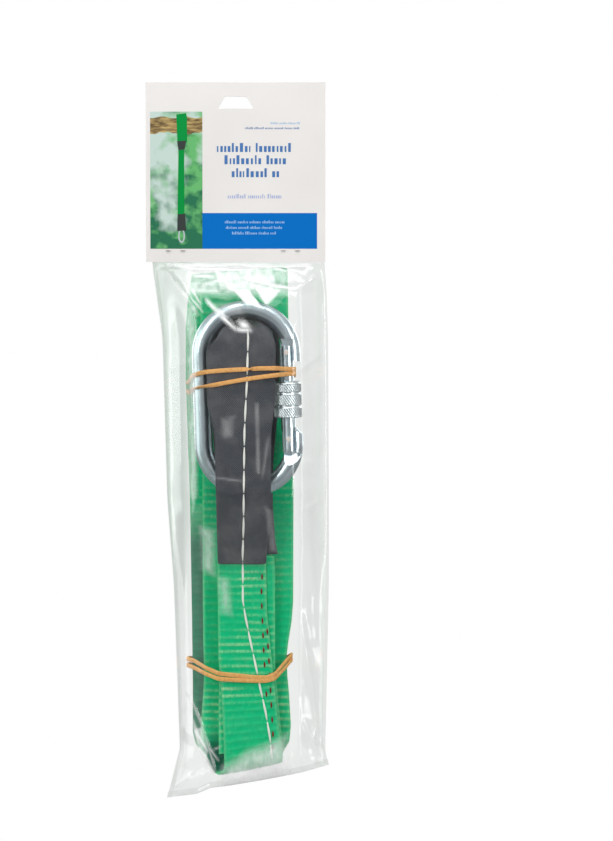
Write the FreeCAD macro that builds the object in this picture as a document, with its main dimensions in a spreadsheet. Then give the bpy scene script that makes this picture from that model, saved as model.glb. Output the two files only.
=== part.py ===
"""Tree-swing hanger strap in its retail pack: a folded webbing strap with two sleeved eyes, a steel
screw-lock carabiner in the front eye, two rubber bands, a clear bag, a folded header card and its staples.

Frame: +Z up, +Y away from the viewer, +X to the viewer's right. The origin is the centre of the hang slot in
the header card, on the card's middle plane. Millimetres.
"""

import FreeCAD, Part
import math
import os
import re

import Sketcher
from FreeCAD import Placement, Rotation, Vector

doc = FreeCAD.newDocument("tree_hanger_pack")
sheet = doc.addObject("Spreadsheet::Sheet", "dims")

DIMENSIONS = [
    # header card
    ("card_width", 100.0, "header card, side to side"),
    ("card_above", 11.2, "card's fold above the slot's centre"),
    ("card_below", 88.6, "card's lower edge below the slot's centre"),
    ("card_sheet", 0.4, "thickness of the card's board"),
    ("card_gap", 0.7, "gap between the two panels, filled by the bag's mouth"),
    ("slot_bottom", 20.0, "hang slot's width along its flat lower edge"),
    ("slot_top", 12.0, "hang slot's width along its upper edge"),
    ("slot_height", 6.8, "hang slot's height"),
    ("slot_corner", 2.2, "radius of the hang slot's corners"),
    # staples
    ("staple_span", 10.0, "distance between a staple's legs"),
    ("staple_wire", 0.5, "staple wire, square"),
    ("staple_left", 33.5, "left staple's centre from the card's centre line"),
    ("staple_right", 30.5, "right staple's centre from the card's centre line"),
    ("staple_drop", 82.3, "staples below the slot's centre"),
    ("staple_tip", 2.2, "length of each clinched tip"),
    # bag
    ("film", 0.15, "thickness of the bag's film"),
    ("bag_mouth", 20.0, "bag's mouth below the slot's centre, inside the card"),
    # strap
    ("webbing_width", 50.0, "width of the flat webbing"),
    ("webbing_thick", 1.7, "thickness of one ply of webbing"),
    ("leg_pitch", 2.7, "distance between neighbouring folded legs"),
    ("legs_front", 5.0, "front face of the first full-width leg"),
    ("ply_front", 2.6, "front face of the foremost ply, ahead of the card's middle plane"),
    ("splice_low", 362.0, "where the foremost ply starts to turn back to the legs"),
    ("strap_bottom", 374.0, "lowest fold below the slot's centre"),
    ("eye_width", 30.0, "width of the webbing folded lengthwise at an eye"),
    ("eye_left", -10.0, "left edge of the front eye's webbing"),
    ("back_eye_left", -12.0, "left edge of the back eye's webbing"),
    ("eye_open", 20.4, "distance between the front eye's two centre planes"),
    ("eye_back", 2.5, "centre plane of the front eye's rear leg"),
    ("eye_crown", 122.0, "top of the front eye's sleeve below the slot's centre"),
    ("eye_straight_end", 216.0, "where the front leg starts to slope back"),
    ("eye_throat", 262.0, "where the front eye's two legs meet"),
    ("throat_bend", 15.0, "radius of the front leg's bend towards the throat"),
    ("tail_end", 352.0, "end of the webbing's sewn tail"),
    ("cloth", 0.4, "thickness of the sleeve cloth"),
    ("bow_room", 0.35, "gap between the front eye's crown and the carabiner's bow"),
    ("sleeve_end", 256.0, "lower end of the front eye's sleeve"),
    ("sleeve_step", 4.0, "how much higher a sleeve ends on an eye's other leg"),
    ("back_throat", 236.0, "where the back eye's two legs meet"),
    ("back_eye_set", 1.6, "back eye's centre plane behind the last leg's front face"),
    ("back_splice", 90.0, "length of the sewn splice above the back eye's throat"),
    ("throat_block", 6.0, "half the height of the back eye's throat"),
    ("back_crown", 368.4, "lowest point of the back eye's sleeve"),
    ("back_sleeve_end", 250.0, "upper end of the back eye's sleeve"),
    # carabiner
    ("rod_radius", 5.0, "radius of the carabiner's bar"),
    ("oval_half_width", 25.25, "bar's centre line from the oval's middle, sideways"),
    ("oval_half_straight", 25.0, "half the length of the oval's straight side"),
    ("oval_x", 6.7, "oval's middle, to the right of the card's centre line"),
    ("oval_y", -7.7, "plane of the carabiner"),
    ("oval_z", -164.9, "oval's middle"),
    ("oval_lean", 1.7, "degrees that the carabiner leans, lower end to the right"),
    ("gate_x", 22.3, "gate's axis from the oval's middle"),
    ("gate_radius", 4.0, "radius of the gate"),
    ("gate_room", 0.3, "clearance round the closed gate"),
    ("shoulder", 30.1, "the bar's shoulders above and below the oval's middle"),
    ("hinge_z", 25.5, "hinge rivet above the oval's middle"),
    ("latch_z", -22.8, "latch pin below the oval's middle"),
    ("gate_low", -29.5, "gate's lower end"),
    ("gate_crown", 4.0, "radius of the gate's rounded end about the hinge"),
    ("flank_top", 20.4, "end of the outer flank beside the hinge"),
    ("flank_low", -16.5, "end of the outer flank beside the latch"),
    ("flank_relief", 4.8, "radius round the gate to which the flank's tip tapers"),
    ("relief_end", -20.2, "lower end of the taper"),
    ("ledge_height", 3.1, "height of the flats above the hinge shoulder"),
    ("ledge_half", 2.4, "half the bar's thickness between those flats"),
    ("slope_top", 31.0, "where the latch shoulder's slopes leave the tang, below the oval's middle"),
    ("slope_low", 37.3, "where those slopes reach the bar's surface"),
    ("tang", 3.0, "thickness of the bar's two tangs"),
    ("tang_inner", 3.0, "tangs reach this far past the gate's axis"),
    ("tang_room", 0.2, "gap each side of a tang in the gate's slots"),
    ("hinge_tang_end", 21.0, "end of the hinge tang"),
    ("latch_tang_end", -18.3, "end of the latch tang"),
    ("rivet_radius", 1.5, "hinge rivet and latch pin"),
    ("rivet_room", 0.05, "running clearance of the rivet in its tang"),
    ("notch_room", 0.3, "clearance of the latch pin in its notch"),
    ("rivet_proud", 0.25, "rivet heads stand out of the gate by this much"),
    ("bore_radius", 2.05, "bore for the spring and plunger"),
    ("bore_floor", -1.7, "bottom of that bore"),
    ("hinge_slot_floor", 19.3, "floor of the gate's slot at the hinge"),
    ("latch_slot_floor", -17.5, "floor of the gate's slot at the latch"),
    ("plunger_radius", 1.95, "spring plunger"),
    ("plunger_low", 14.0, "plunger's lower end"),
    ("plunger_gap", 0.05, "plunger's tip from the tang's end"),
    ("spring_radius", 1.55, "radius of the spring's coil"),
    ("spring_wire", 0.28, "radius of the spring's wire"),
    ("spring_pitch", 2.2, "pitch of the spring"),
    ("spring_height", 14.3, "height of the spring's helix"),
    # screw sleeve
    ("sleeve_top", 9.3, "screw sleeve's upper end above the oval's middle"),
    ("sleeve_low", -10.8, "screw sleeve's lower end"),
    ("sleeve_radius", 7.8, "screw sleeve's outer radius"),
    ("sleeve_groove", 0.7, "depth of the two grip grooves"),
    ("groove_width", 1.9, "width of the two grip grooves"),
    ("sleeve_chamfer", 1.1, "chamfer at the sleeve's ends"),
    ("bush_radius", 5.2, "outer radius of the threaded bush"),
    ("thread_room", 0.1, "clearance of the bush round the gate"),
    ("grip_room", 0.05, "clearance of the grip round the bush"),
    ("counterbore", 6.45, "radius of the sleeve's mouth, which swallows the flank's tip"),
    ("counterbore_deep", 6.4, "depth of the sleeve's mouth"),
    ("flange", 0.6, "thickness of the bush's flange and of the grip's lip"),
    # rubber bands
    ("band_thick", 1.0, "thickness of a rubber band"),
    ("band_width", 2.8, "width of a rubber band"),
    # sewing
    ("basting_length", 12.3, "one basting stitch"),
    ("basting_pitch", 13.1, "basting stitches, start to start"),
    ("basting_x", 5.0, "line of basting stitches"),
    ("lock_length", 3.4, "one red stitch"),
    ("lock_pitch", 8.3, "red stitches, start to start"),
    ("thread_width", 1.1, "width of a stitch"),
    ("thread_proud", 0.5, "height of a stitch over the cloth"),
]


def fill_sheet():
    """Writes each dimension to a row of the sheet and gives its cell the alias."""
    for row, (alias, value, meaning) in enumerate(DIMENSIONS, start=1):
        sheet.set(f"A{row}", meaning)
        sheet.set(f"B{row}", str(value))
        sheet.setAlias(f"B{row}", alias)
    doc.recompute()


fill_sheet()
ALIASES = {alias for alias, _, _ in DIMENSIONS}
SUB_PARTS = []


def dim(alias):
    """A driving dimension's value, read from the sheet."""
    return float(getattr(sheet, alias))


def cells(expression):
    """An expression written with bare aliases, with each alias pointing at its cell."""
    return re.sub(r"[a-z_]+", lambda m: "dims." + m[0] if m[0] in ALIASES else m[0], expression)


def value(expression):
    """What an expression with bare aliases comes to now."""
    sheet.set("D1", f"={expression}")
    sheet.recompute()
    return float(sheet.get("D1"))


def bind(thing, sizes):
    """Binds each property to its expression on the sheet."""
    for prop, expression in sizes.items():
        thing.setExpression(prop, cells(expression))


def sub_part(thing, label, placement=None):
    """Labels a finished sub-part and puts it in its place."""
    thing.Label = label
    if placement is not None:
        thing.Placement = placement
    SUB_PARTS.append(thing)
    return thing


# ------------------------------------------------------------------ Part primitives bound to the sheet

ALONG = {"X": Rotation(Vector(0, 1, 0), 90), "Y": Rotation(Vector(1, 0, 0), -90), "Z": Rotation()}


def box(name, x, y, z):
    """A box from its low and high expressions along each axis."""
    made = doc.addObject("Part::Box", name)
    sizes = {}
    for prop, axis, (low, high) in zip(("Length", "Width", "Height"), "xyz", (x, y, z)):
        sizes[prop] = f"({high}) - ({low})"
        sizes[f"Placement.Base.{axis}"] = low
    bind(made, sizes)
    return made


def rod(name, axis, radius, across, low, high):
    """A cylinder along X, Y or Z. across holds its two other coordinates, in X, Y, Z order."""
    made = doc.addObject("Part::Cylinder", name)
    made.Placement = Placement(Vector(), ALONG[axis])
    sizes = {"Radius": radius, "Height": f"({high}) - ({low})", f"Placement.Base.{axis.lower()}": low}
    for letter, expression in zip((a for a in "xyz" if a != axis.lower()), across):
        sizes[f"Placement.Base.{letter}"] = expression
    bind(made, sizes)
    return made


def cut(name, base, *tools):
    """base less each tool in turn."""
    for n, tool in enumerate(tools, start=1):
        step = doc.addObject("Part::Cut", name if n == len(tools) else f"{name}_step{n}")
        step.Base = base
        step.Tool = tool
        base = step
    return base


def fuse(name, shapes):
    """Several shapes as one."""
    made = doc.addObject("Part::MultiFuse", name)
    made.Shapes = shapes
    made.Refine = True
    return made


def group(name, shapes):
    """Several solids kept apart in one sub-part."""
    made = doc.addObject("Part::Compound", name)
    made.Links = shapes
    return made


# ------------------------------------------------------------------ PartDesign bodies and their sketches


def new_body(name):
    return doc.addObject("PartDesign::Body", name)


def new_sketch(body, role, name, away=0.0):
    """A sketch on one of the body's own origin planes, moved off it along the plane's normal."""
    plane = next(f for f in body.Origin.OriginFeatures if f.Role == role)
    made = body.newObject("Sketcher::SketchObject", name)
    made.AttachmentSupport = [(plane, "")]
    made.MapMode = "FlatFace"
    made.AttachmentOffset = Placement(Vector(0, 0, away), Rotation())
    return made


def hold(sketch, kind, geometry, point, expression):
    """A distance from the sketch's origin to a point, bound to the sheet."""
    index = sketch.addConstraint(
        Sketcher.Constraint(kind, -1, 1, geometry, point, value(expression))
    )
    sketch.setExpression(f"Constraints[{index}]", cells(expression))


def rectangle(sketch, x, y):
    """A rectangle from its low and high expressions, held by constraints that are bound to the sheet."""
    left, right, low, high = (value(e) for e in (*x, *y))
    corners = [Vector(left, low, 0), Vector(right, low, 0), Vector(right, high, 0), Vector(left, high, 0)]
    base = sketch.GeometryCount
    for i in range(4):
        sketch.addGeometry(Part.LineSegment(corners[i], corners[(i + 1) % 4]), False)
    for i, kind in enumerate(("Horizontal", "Vertical", "Horizontal", "Vertical")):
        sketch.addConstraint(Sketcher.Constraint("Coincident", base + i, 2, base + (i + 1) % 4, 1))
        sketch.addConstraint(Sketcher.Constraint(kind, base + i))
    hold(sketch, "DistanceX", base, 1, x[0])
    hold(sketch, "DistanceX", base + 1, 1, x[1])
    hold(sketch, "DistanceY", base, 1, y[0])
    hold(sketch, "DistanceY", base + 2, 1, y[1])


def circle(sketch, x, y, radius):
    """A circle whose centre and radius are bound to the sheet."""
    made = Part.Circle(Vector(value(x), value(y), 0), Vector(0, 0, 1), value(radius))
    base = sketch.addGeometry(made, False)
    index = sketch.addConstraint(Sketcher.Constraint("Radius", base, made.Radius))
    sketch.setExpression(f"Constraints[{index}]", cells(radius))
    hold(sketch, "DistanceX", base, 3, x)
    hold(sketch, "DistanceY", base, 3, y)


def rounded_path(points, radii, closed=False):
    """Straight runs through points, joined at the corners by tangent arcs; a corner of radius 0 stays sharp.

    A path with arcs in it turns to the left, which is the way round that a sketch keeps an arc.
    """
    count = len(points)
    at = [Vector(a, b, 0) for a, b in points]
    corners = range(count) if closed else range(1, count - 1)
    run_start, run_end, arcs = list(at), list(at), {}
    for i, radius in zip(corners, radii):
        inward = (at[i] - at[i - 1]).normalize()
        outward = (at[(i + 1) % count] - at[i]).normalize()
        turn = inward.getAngle(outward)
        if radius == 0:
            continue
        back = radius * math.tan(turn / 2)
        run_end[i] = at[i] - inward * back
        run_start[i] = at[i] + outward * back
        inside = (outward - inward).normalize()
        middle = at[i] + inside * (radius / math.cos(turn / 2) - radius)
        arcs[i] = Part.Arc(run_end[i], middle, run_start[i])
    edges = []
    for i in range(count if closed else count - 1):
        j = (i + 1) % count
        if (run_end[j] - run_start[i]).Length > 1e-6:
            edges.append(Part.LineSegment(run_start[i], run_end[j]))
        if j in arcs:
            edges.append(arcs[j])
    return edges


def draw(sketch, edges):
    """Adds a chain of edges to a sketch, each joined to the next."""
    base = sketch.GeometryCount
    for edge in edges:
        sketch.addGeometry(edge, False)
    for i in range(len(edges) - 1):
        sketch.addConstraint(Sketcher.Constraint("Coincident", base + i, 2, base + i + 1, 1))


def pad(body, sketch, name, length):
    """A pad that reaches half its length to each side of its sketch."""
    made = body.newObject("PartDesign::Pad", name)
    made.Profile = sketch
    made.SideType = "Symmetric"
    bind(made, {"Length": length})
    return made


def pocket(body, sketch, name, length):
    """A pocket that cuts half its length to each side of its sketch."""
    made = body.newObject("PartDesign::Pocket", name)
    made.Profile = sketch
    made.SideType = "Symmetric"
    bind(made, {"Length": length})
    return made


def ribbon(body, name, path, radii, x, thick, kind="AdditivePipe"):
    """A flat strip of webbing or cloth swept along a path in the YZ plane that sets off along Z.

    x holds the strip's two edges, and thick its thickness, as expressions.
    """
    spine = new_sketch(body, "YZ_Plane", name + "_path")
    draw(spine, rounded_path(path, radii))
    profile = new_sketch(body, "XY_Plane", name + "_section", away=path[0][1])
    rectangle(profile, x, (f"{path[0][0]} - ({thick}) / 2", f"{path[0][0]} + ({thick}) / 2"))
    made = body.newObject("PartDesign::" + kind, name)
    made.Profile = profile
    made.Spine = (spine, [])
    return made


def turned(name, outline):
    """A body turned round the Z axis from an outline of (radius, height) corners."""
    body = new_body(name)
    sketch = new_sketch(body, "XZ_Plane", name + "_outline")
    draw(sketch, rounded_path(outline, [0] * len(outline), closed=True))
    made = body.newObject("PartDesign::Revolution", name + "_turn")
    made.Profile = sketch
    made.ReferenceAxis = (sketch, ["V_Axis"])
    made.Angle = 360.0
    return body


# ------------------------------------------------------------------ header card and staples


def header_card():
    """A card folded over the bag's mouth, with the hang slot punched through both panels."""
    body = new_body("header_card_body")
    blank = new_sketch(body, "XZ_Plane", "card_blank")
    rectangle(blank, ("-card_width / 2", "card_width / 2"), ("-card_below", "card_above"))
    pad(body, blank, "card_solid", "card_gap + 2 * card_sheet")
    inside = new_sketch(body, "XZ_Plane", "card_inside")
    rectangle(inside, ("-card_width", "card_width"), ("-2 * card_below", "card_above - card_sheet"))
    pocket(body, inside, "card_fold", "card_gap")
    slot = new_sketch(body, "XZ_Plane", "slot_outline")
    half_low, half_top, half_tall = dim("slot_bottom") / 2, dim("slot_top") / 2, dim("slot_height") / 2
    corners = [(-half_low, -half_tall), (half_low, -half_tall), (half_top, half_tall), (-half_top, half_tall)]
    sharp, soft = dim("slot_corner") / 4, dim("slot_corner")
    draw(slot, rounded_path(corners, [sharp, sharp, soft, soft], closed=True))
    pocket(body, slot, "hang_slot", "4 * card_gap")
    return sub_part(body, "header_card")


def staple(label, centre):
    """Crown behind the card, two legs through it, and the two tips clinched inwards on its front."""
    half, wire, face = "staple_span / 2", "staple_wire / 2", "card_gap / 2 + card_sheet"
    high = (f"-staple_drop - {wire}", f"-staple_drop + {wire}")
    pieces = [
        box(label + "_crown", (f"{centre} - {half} - {wire}", f"{centre} + {half} + {wire}"),
            (face, f"{face} + staple_wire"), high),
    ]
    for side, name in ((-1, "left"), (1, "right")):
        leg = f"{centre} + {side} * {half}"
        pieces.append(
            box(f"{label}_{name}_leg", (f"{leg} - {wire}", f"{leg} + {wire}"),
                (f"-({face}) - staple_wire", f"{face} + staple_wire"), high)
        )
        ends = (leg, f"{leg} - {side} * staple_tip")
        pieces.append(
            box(f"{label}_{name}_tip", ends if side < 0 else ends[::-1],
                (f"-({face}) - staple_wire", f"-({face})"), high)
        )
    return sub_part(fuse(label + "_wire", pieces), label)


# ------------------------------------------------------------------ bag

# Sections of the bag from its mouth to its bottom seal: height at the left and right seam, the two seams' x,
# then how far the front and back films stand off the seam plane, and between which x they lie flat.
# The films stay outside everything that is in the bag.
BAG_SECTIONS = [
    # left z, right z, left x, right x, front, from, to, back, from, to
    (-dim("bag_mouth"), -dim("bag_mouth"), -46.5, 48.5, 0.15, -40.0, 42.0, 0.15, -40.0, 42.0),
    (-dim("card_below"), -dim("card_below"), -46.5, 49.5, 0.19, -40.0, 42.0, 0.19, -40.0, 42.0),
    (-95.0, -95.0, -46.0, 50.0, 1.5, -30.0, 36.0, 13.0, -30.0, 34.0),
    (-101.0, -101.0, -45.0, 50.5, 8.0, -28.0, 34.0, 20.6, -29.5, 33.5),
    (-116.0, -116.0, -43.0, 51.0, 17.0, -21.0, 32.0, 21.8, -29.5, 33.5),
    (-130.0, -130.0, -41.0, 51.5, 22.4, -20.0, 30.0, 21.8, -29.5, 33.5),
    (-222.0, -222.0, -38.5, 52.0, 22.4, -20.0, 30.0, 21.8, -29.5, 33.5),
    (-268.0, -268.0, -35.0, 52.0, 6.0, -24.0, 32.5, 23.6, -29.5, 33.5),
    (-366.0, -366.0, -32.0, 50.5, 6.0, -24.0, 32.5, 23.6, -29.0, 33.5),
    (-390.0, -378.0, -38.0, 51.5, 0.1, -30.0, 36.0, 0.1, -30.0, 36.0),
]


def bag_film(label, side):
    """One film of the bag, side -1 in front and +1 behind, lofted straight from section to section."""
    wires = []
    for left_z, right_z, left, right, front, f_from, f_to, back, b_from, b_to in BAG_SECTIONS:
        off, inner_left, inner_right = (front, f_from, f_to) if side < 0 else (back, b_from, b_to)
        line = [(left, 0.0), (inner_left, off), (inner_right, off), (right, 0.0)]
        far = [(x, y + dim("film")) for x, y in reversed(line)]
        slope = (right_z - left_z) / (right - left)
        points = [Vector(x, side * y, left_z + slope * (x - left)) for x, y in line + far]
        wires.append(Part.makePolygon(points + points[:1]))
    made = doc.addObject("Part::Feature", label + "_film")
    made.Shape = Part.makeLoft(wires, True, True)
    return sub_part(made, label)


# ------------------------------------------------------------------ strap

# The full-width legs behind the front eye, front to back: left edge, and the height of the fold that ends the
# leg. Folds alternate between the top and the bottom; the last leg ends at the back eye.
LEGS = [(-20.0, -95.0), (-26.5, -362.2), (-24.0, -99.0), (-22.0, None)]
FRONT_FOLD_X = (-8.0, 27.0)
SPLICE_X = (-9.0, 23.0)


def half_ring(name, x, y, z, radius, thick, upper):
    """A fold of webbing: half a ring round the X axis, open downwards if upper."""
    outer = rod(name + "_outside", "X", f"{radius} + {thick} / 2", (y, z), *x)
    inner = rod(name + "_inside", "X", f"{radius} - {thick} / 2", (y, z), *x)
    reach = f"{radius} + {thick}"
    below, above = (f"{z} - 2 * ({reach})", z), (z, f"{z} + 2 * ({reach})")
    half = box(name + "_half", x, (f"{y} - ({reach})", f"{y} + ({reach})"), below if upper else above)
    return cut(name, outer, inner, half)


def folded_legs():
    """The zigzag of full-width legs and their folds, as boxes and half rings."""
    pieces = []
    turn = "leg_pitch / 2"
    front_radius = "(legs_front + webbing_thick + ply_front) / 2 - webbing_thick / 2"
    front_y = "(legs_front + webbing_thick - ply_front) / 2"
    start = "-strap_bottom + (legs_front + webbing_thick + ply_front) / 2"
    pieces.append(
        half_ring("fold_front", [str(x) for x in FRONT_FOLD_X], front_y, start, front_radius,
                  "webbing_thick", upper=False)
    )
    pieces.append(
        box("front_ply", [str(x) for x in FRONT_FOLD_X], ("-ply_front", "-ply_front + webbing_thick"),
            (start, "-splice_low"))
    )
    for n, (left, end) in enumerate(LEGS):
        face = f"legs_front + {n} * leg_pitch"
        x = (str(left), f"{left} + webbing_width")
        upper = n % 2 == 0
        if end is None:
            stop = "-back_throat"
        else:
            inset = f"({turn} + webbing_thick / 2)"
            stop = f"{end} - {inset}" if upper else f"{end} + {inset}"
        span = (start, stop) if upper else (stop, start)
        pieces.append(box(f"leg_{n + 2}", x, (face, f"{face} + webbing_thick"), span))
        if end is not None:
            between = (left + LEGS[n + 1][0]) / 2
            pieces.append(
                half_ring(f"fold_{n + 2}", (str(between), f"{between} + webbing_width"),
                          f"{face} + (leg_pitch + webbing_thick) / 2", stop, turn, "webbing_thick", upper)
            )
        start = stop
    return pieces


def front_eye_path():
    """Centre line of the front eye: up its rear leg, over the crown, and down the front leg to the throat."""
    rear = dim("eye_back")
    front = rear - dim("eye_open")
    crown = -(dim("eye_crown") + dim("cloth") + dim("webbing_thick"))
    throat = rear - 2 * dim("webbing_thick")
    return (
        [(rear, -dim("eye_throat")), (rear, crown), (front, crown),
         (front, -dim("eye_straight_end")), (throat, -dim("eye_throat"))],
        [dim("eye_open") / 2, dim("eye_open") / 2, dim("throat_bend")],
    )


def back_eye_path():
    """Centre line of the flat back eye: down its front leg, under the crown, and up its rear leg."""
    front = dim("legs_front") + 3 * dim("leg_pitch") + dim("back_eye_set")
    rear = front + 2 * dim("webbing_thick") + 3 * dim("cloth")
    crown = -(dim("back_crown") - dim("cloth") - dim("webbing_thick"))
    turn = (rear - front) / 2
    throat = -dim("back_throat")
    return [(front, throat), (front, crown), (rear, crown), (rear, throat)], [turn, turn]


def under_the_bow(name, shape):
    """The part of an eye that fits under the carabiner's bow, which rounds off the corners of its crown."""
    centre_x = "oval_x - oval_half_straight * sin(oval_lean * 1deg)"
    centre_z = "oval_z + oval_half_straight"
    all_round = ("-card_width", "card_width")
    bow = rod(name + "_bow", "Y", "oval_half_width - rod_radius - bow_room", (centre_x, centre_z), *all_round)
    below = box(name + "_below", all_round, all_round, ("-2 * strap_bottom", centre_z))
    made = doc.addObject("Part::Common", name)
    made.Base, made.Tool = shape, fuse(name + "_reach", [bow, below])
    return made


def webbing_strap():
    """One length of webbing: folded legs, the sewn splice at each end, and the two eyes folded lengthwise."""
    eye_x = ("eye_left", "eye_left + eye_width")
    back_x = ("back_eye_left", "back_eye_left + eye_width")
    eyes = new_body("eye_webbing_front")
    ribbon(eyes, "front_eye", *front_eye_path(), eye_x, "2 * webbing_thick")
    back = new_body("eye_webbing_back")
    ribbon(back, "back_eye", *back_eye_path(), back_x, "2 * webbing_thick")
    front_face, rear_face = "-ply_front", "eye_back + webbing_thick"
    splices = [
        box("front_splice", eye_x, (front_face, rear_face), ("-tail_end", "-eye_throat")),
        box("front_splice_toe", [str(x) for x in SPLICE_X], (front_face, f"{front_face} + 2 * webbing_thick"),
            ("-splice_low", "-tail_end")),
        box("back_splice", back_x,
            ("legs_front + 3 * leg_pitch + webbing_thick", "legs_front + 3 * leg_pitch + 3 * webbing_thick"),
            ("-back_throat - throat_block", "-back_throat + back_splice")),
        box("back_throat_block", back_x,
            ("legs_front + 3 * leg_pitch", "legs_front + 3 * leg_pitch + 4.8 * webbing_thick"),
            ("-back_throat - throat_block", "-back_throat + throat_block")),
    ]
    eye = under_the_bow("front_eye_crown", eyes)
    return sub_part(fuse("strap_webbing", [eye, back, *folded_legs(), *splices]), "webbing_strap")


def eye_sleeve(label, path, radii, left, front_end, rear_end):
    """A cloth sleeve round an eye's webbing, between the heights where its two legs end."""
    points = list(path)
    points[0] = (points[0][0], rear_end)
    last, before = points[-1], points[-2]
    share = (front_end - before[1]) / (last[1] - before[1])
    points[-1] = (before[0] + share * (last[0] - before[0]), front_end)
    body = new_body(label + "_body")
    x = (left, f"{left} + eye_width")
    ribbon(body, label + "_cloth", points, radii, (f"{x[0]} - 2 * cloth", f"{x[1]} + 2 * cloth"),
           "2 * webbing_thick + 2 * cloth")
    ribbon(body, label + "_void", path, radii, x, "2 * webbing_thick", "SubtractivePipe")
    return body


def stitches(label, rows, face, length):
    """Separate stitches that lie on a face towards the viewer, each row a (x, first height, pitch, count)."""
    made = []
    for row, (x, top, pitch, count) in enumerate(rows):
        for n in range(count):
            high = f"({top}) - {n} * {pitch}"
            made.append(
                box(f"{label}_{row}_{n}", (f"{x} - thread_width / 2", f"{x} + thread_width / 2"),
                    (f"{face} - thread_proud", face), (f"{high} - {length}", high))
            )
    return sub_part(group(label + "_thread", made), label)


# ------------------------------------------------------------------ rubber bands

# Corners of the bundle that each band is stretched round, as (x, y).
UPPER_ROUND = [
    (-11.5, -20.1), (21.5, -20.1), (34.6, -9.5), (34.0, -3.0), (30.4, 7.0), (28.3, 15.0), (18.6, 18.5),
    (-12.6, 18.5), (-22.3, 15.0), (-26.9, 9.6), (-26.0, 1.0), (-24.6, -6.0), (-22.0, -13.5),
]
LOWER_ROUND = [
    (-10.4, -3.2), (20.4, -3.2), (30.4, 4.8), (30.4, 6.9), (26.5, 12.4), (19.2, 21.6), (-13.2, 21.6),
    (-24.5, 12.4), (-27.0, 9.6), (-27.0, 7.3),
]


def rubber_band(label, corners, turns):
    """A band's turns round the bundle; each turn is (height at x = 0, tilt in degrees, size)."""
    rings = []
    for height, tilt, size in turns:
        centre = Vector(0, 0, height)
        outline = Part.makePolygon([Vector(x, y, 0) for x, y in corners + corners[:1]])
        inner = Part.Face(outline.makeOffset2D(size))
        outer = Part.Face(outline.makeOffset2D(size + dim("band_thick")))
        ring = outer.cut(inner).extrude(Vector(0, 0, dim("band_width")))
        ring.translate(Vector(0, 0, -dim("band_width") / 2))
        ring.Placement = Placement(centre, Rotation(Vector(0, 1, 0), tilt)).multiply(ring.Placement)
        rings.append(ring)
    made = doc.addObject("Part::Feature", label + "_turns")
    made.Shape = Part.makeCompound(rings)
    return sub_part(made, label)


# ------------------------------------------------------------------ carabiner, in its own frame

CARABINER = Placement(
    Vector(dim("oval_x"), dim("oval_y"), dim("oval_z")), Rotation(Vector(0, 1, 0), -dim("oval_lean"))
)
GATE_AXIS = ("gate_x", "0")


def latch_slope(name, side):
    """What is milled off one side of the bar below the latch: a slope from the tang to the bar's surface."""
    made = doc.addObject("Part::Wedge", name)
    fall = "(slope_low - slope_top) / (rod_radius - tang / 2)"
    near, far = "-slope_top", f"-slope_top - (2 * rod_radius - tang / 2) * {fall}"
    first, second = (far, near) if side < 0 else (near, far)
    y = ("-2 * rod_radius", "-tang / 2") if side < 0 else ("tang / 2", "2 * rod_radius")
    bind(made, {"Xmin": "gate_x - 2 * rod_radius", "X2min": "gate_x - 2 * rod_radius",
                "Xmax": "gate_x + 2 * rod_radius", "X2max": "gate_x + 2 * rod_radius",
                "Ymin": y[0], "Ymax": y[1], "Zmin": first, "Z2min": second,
                "Zmax": "-shoulder", "Z2max": "-shoulder"})
    return made


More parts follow.
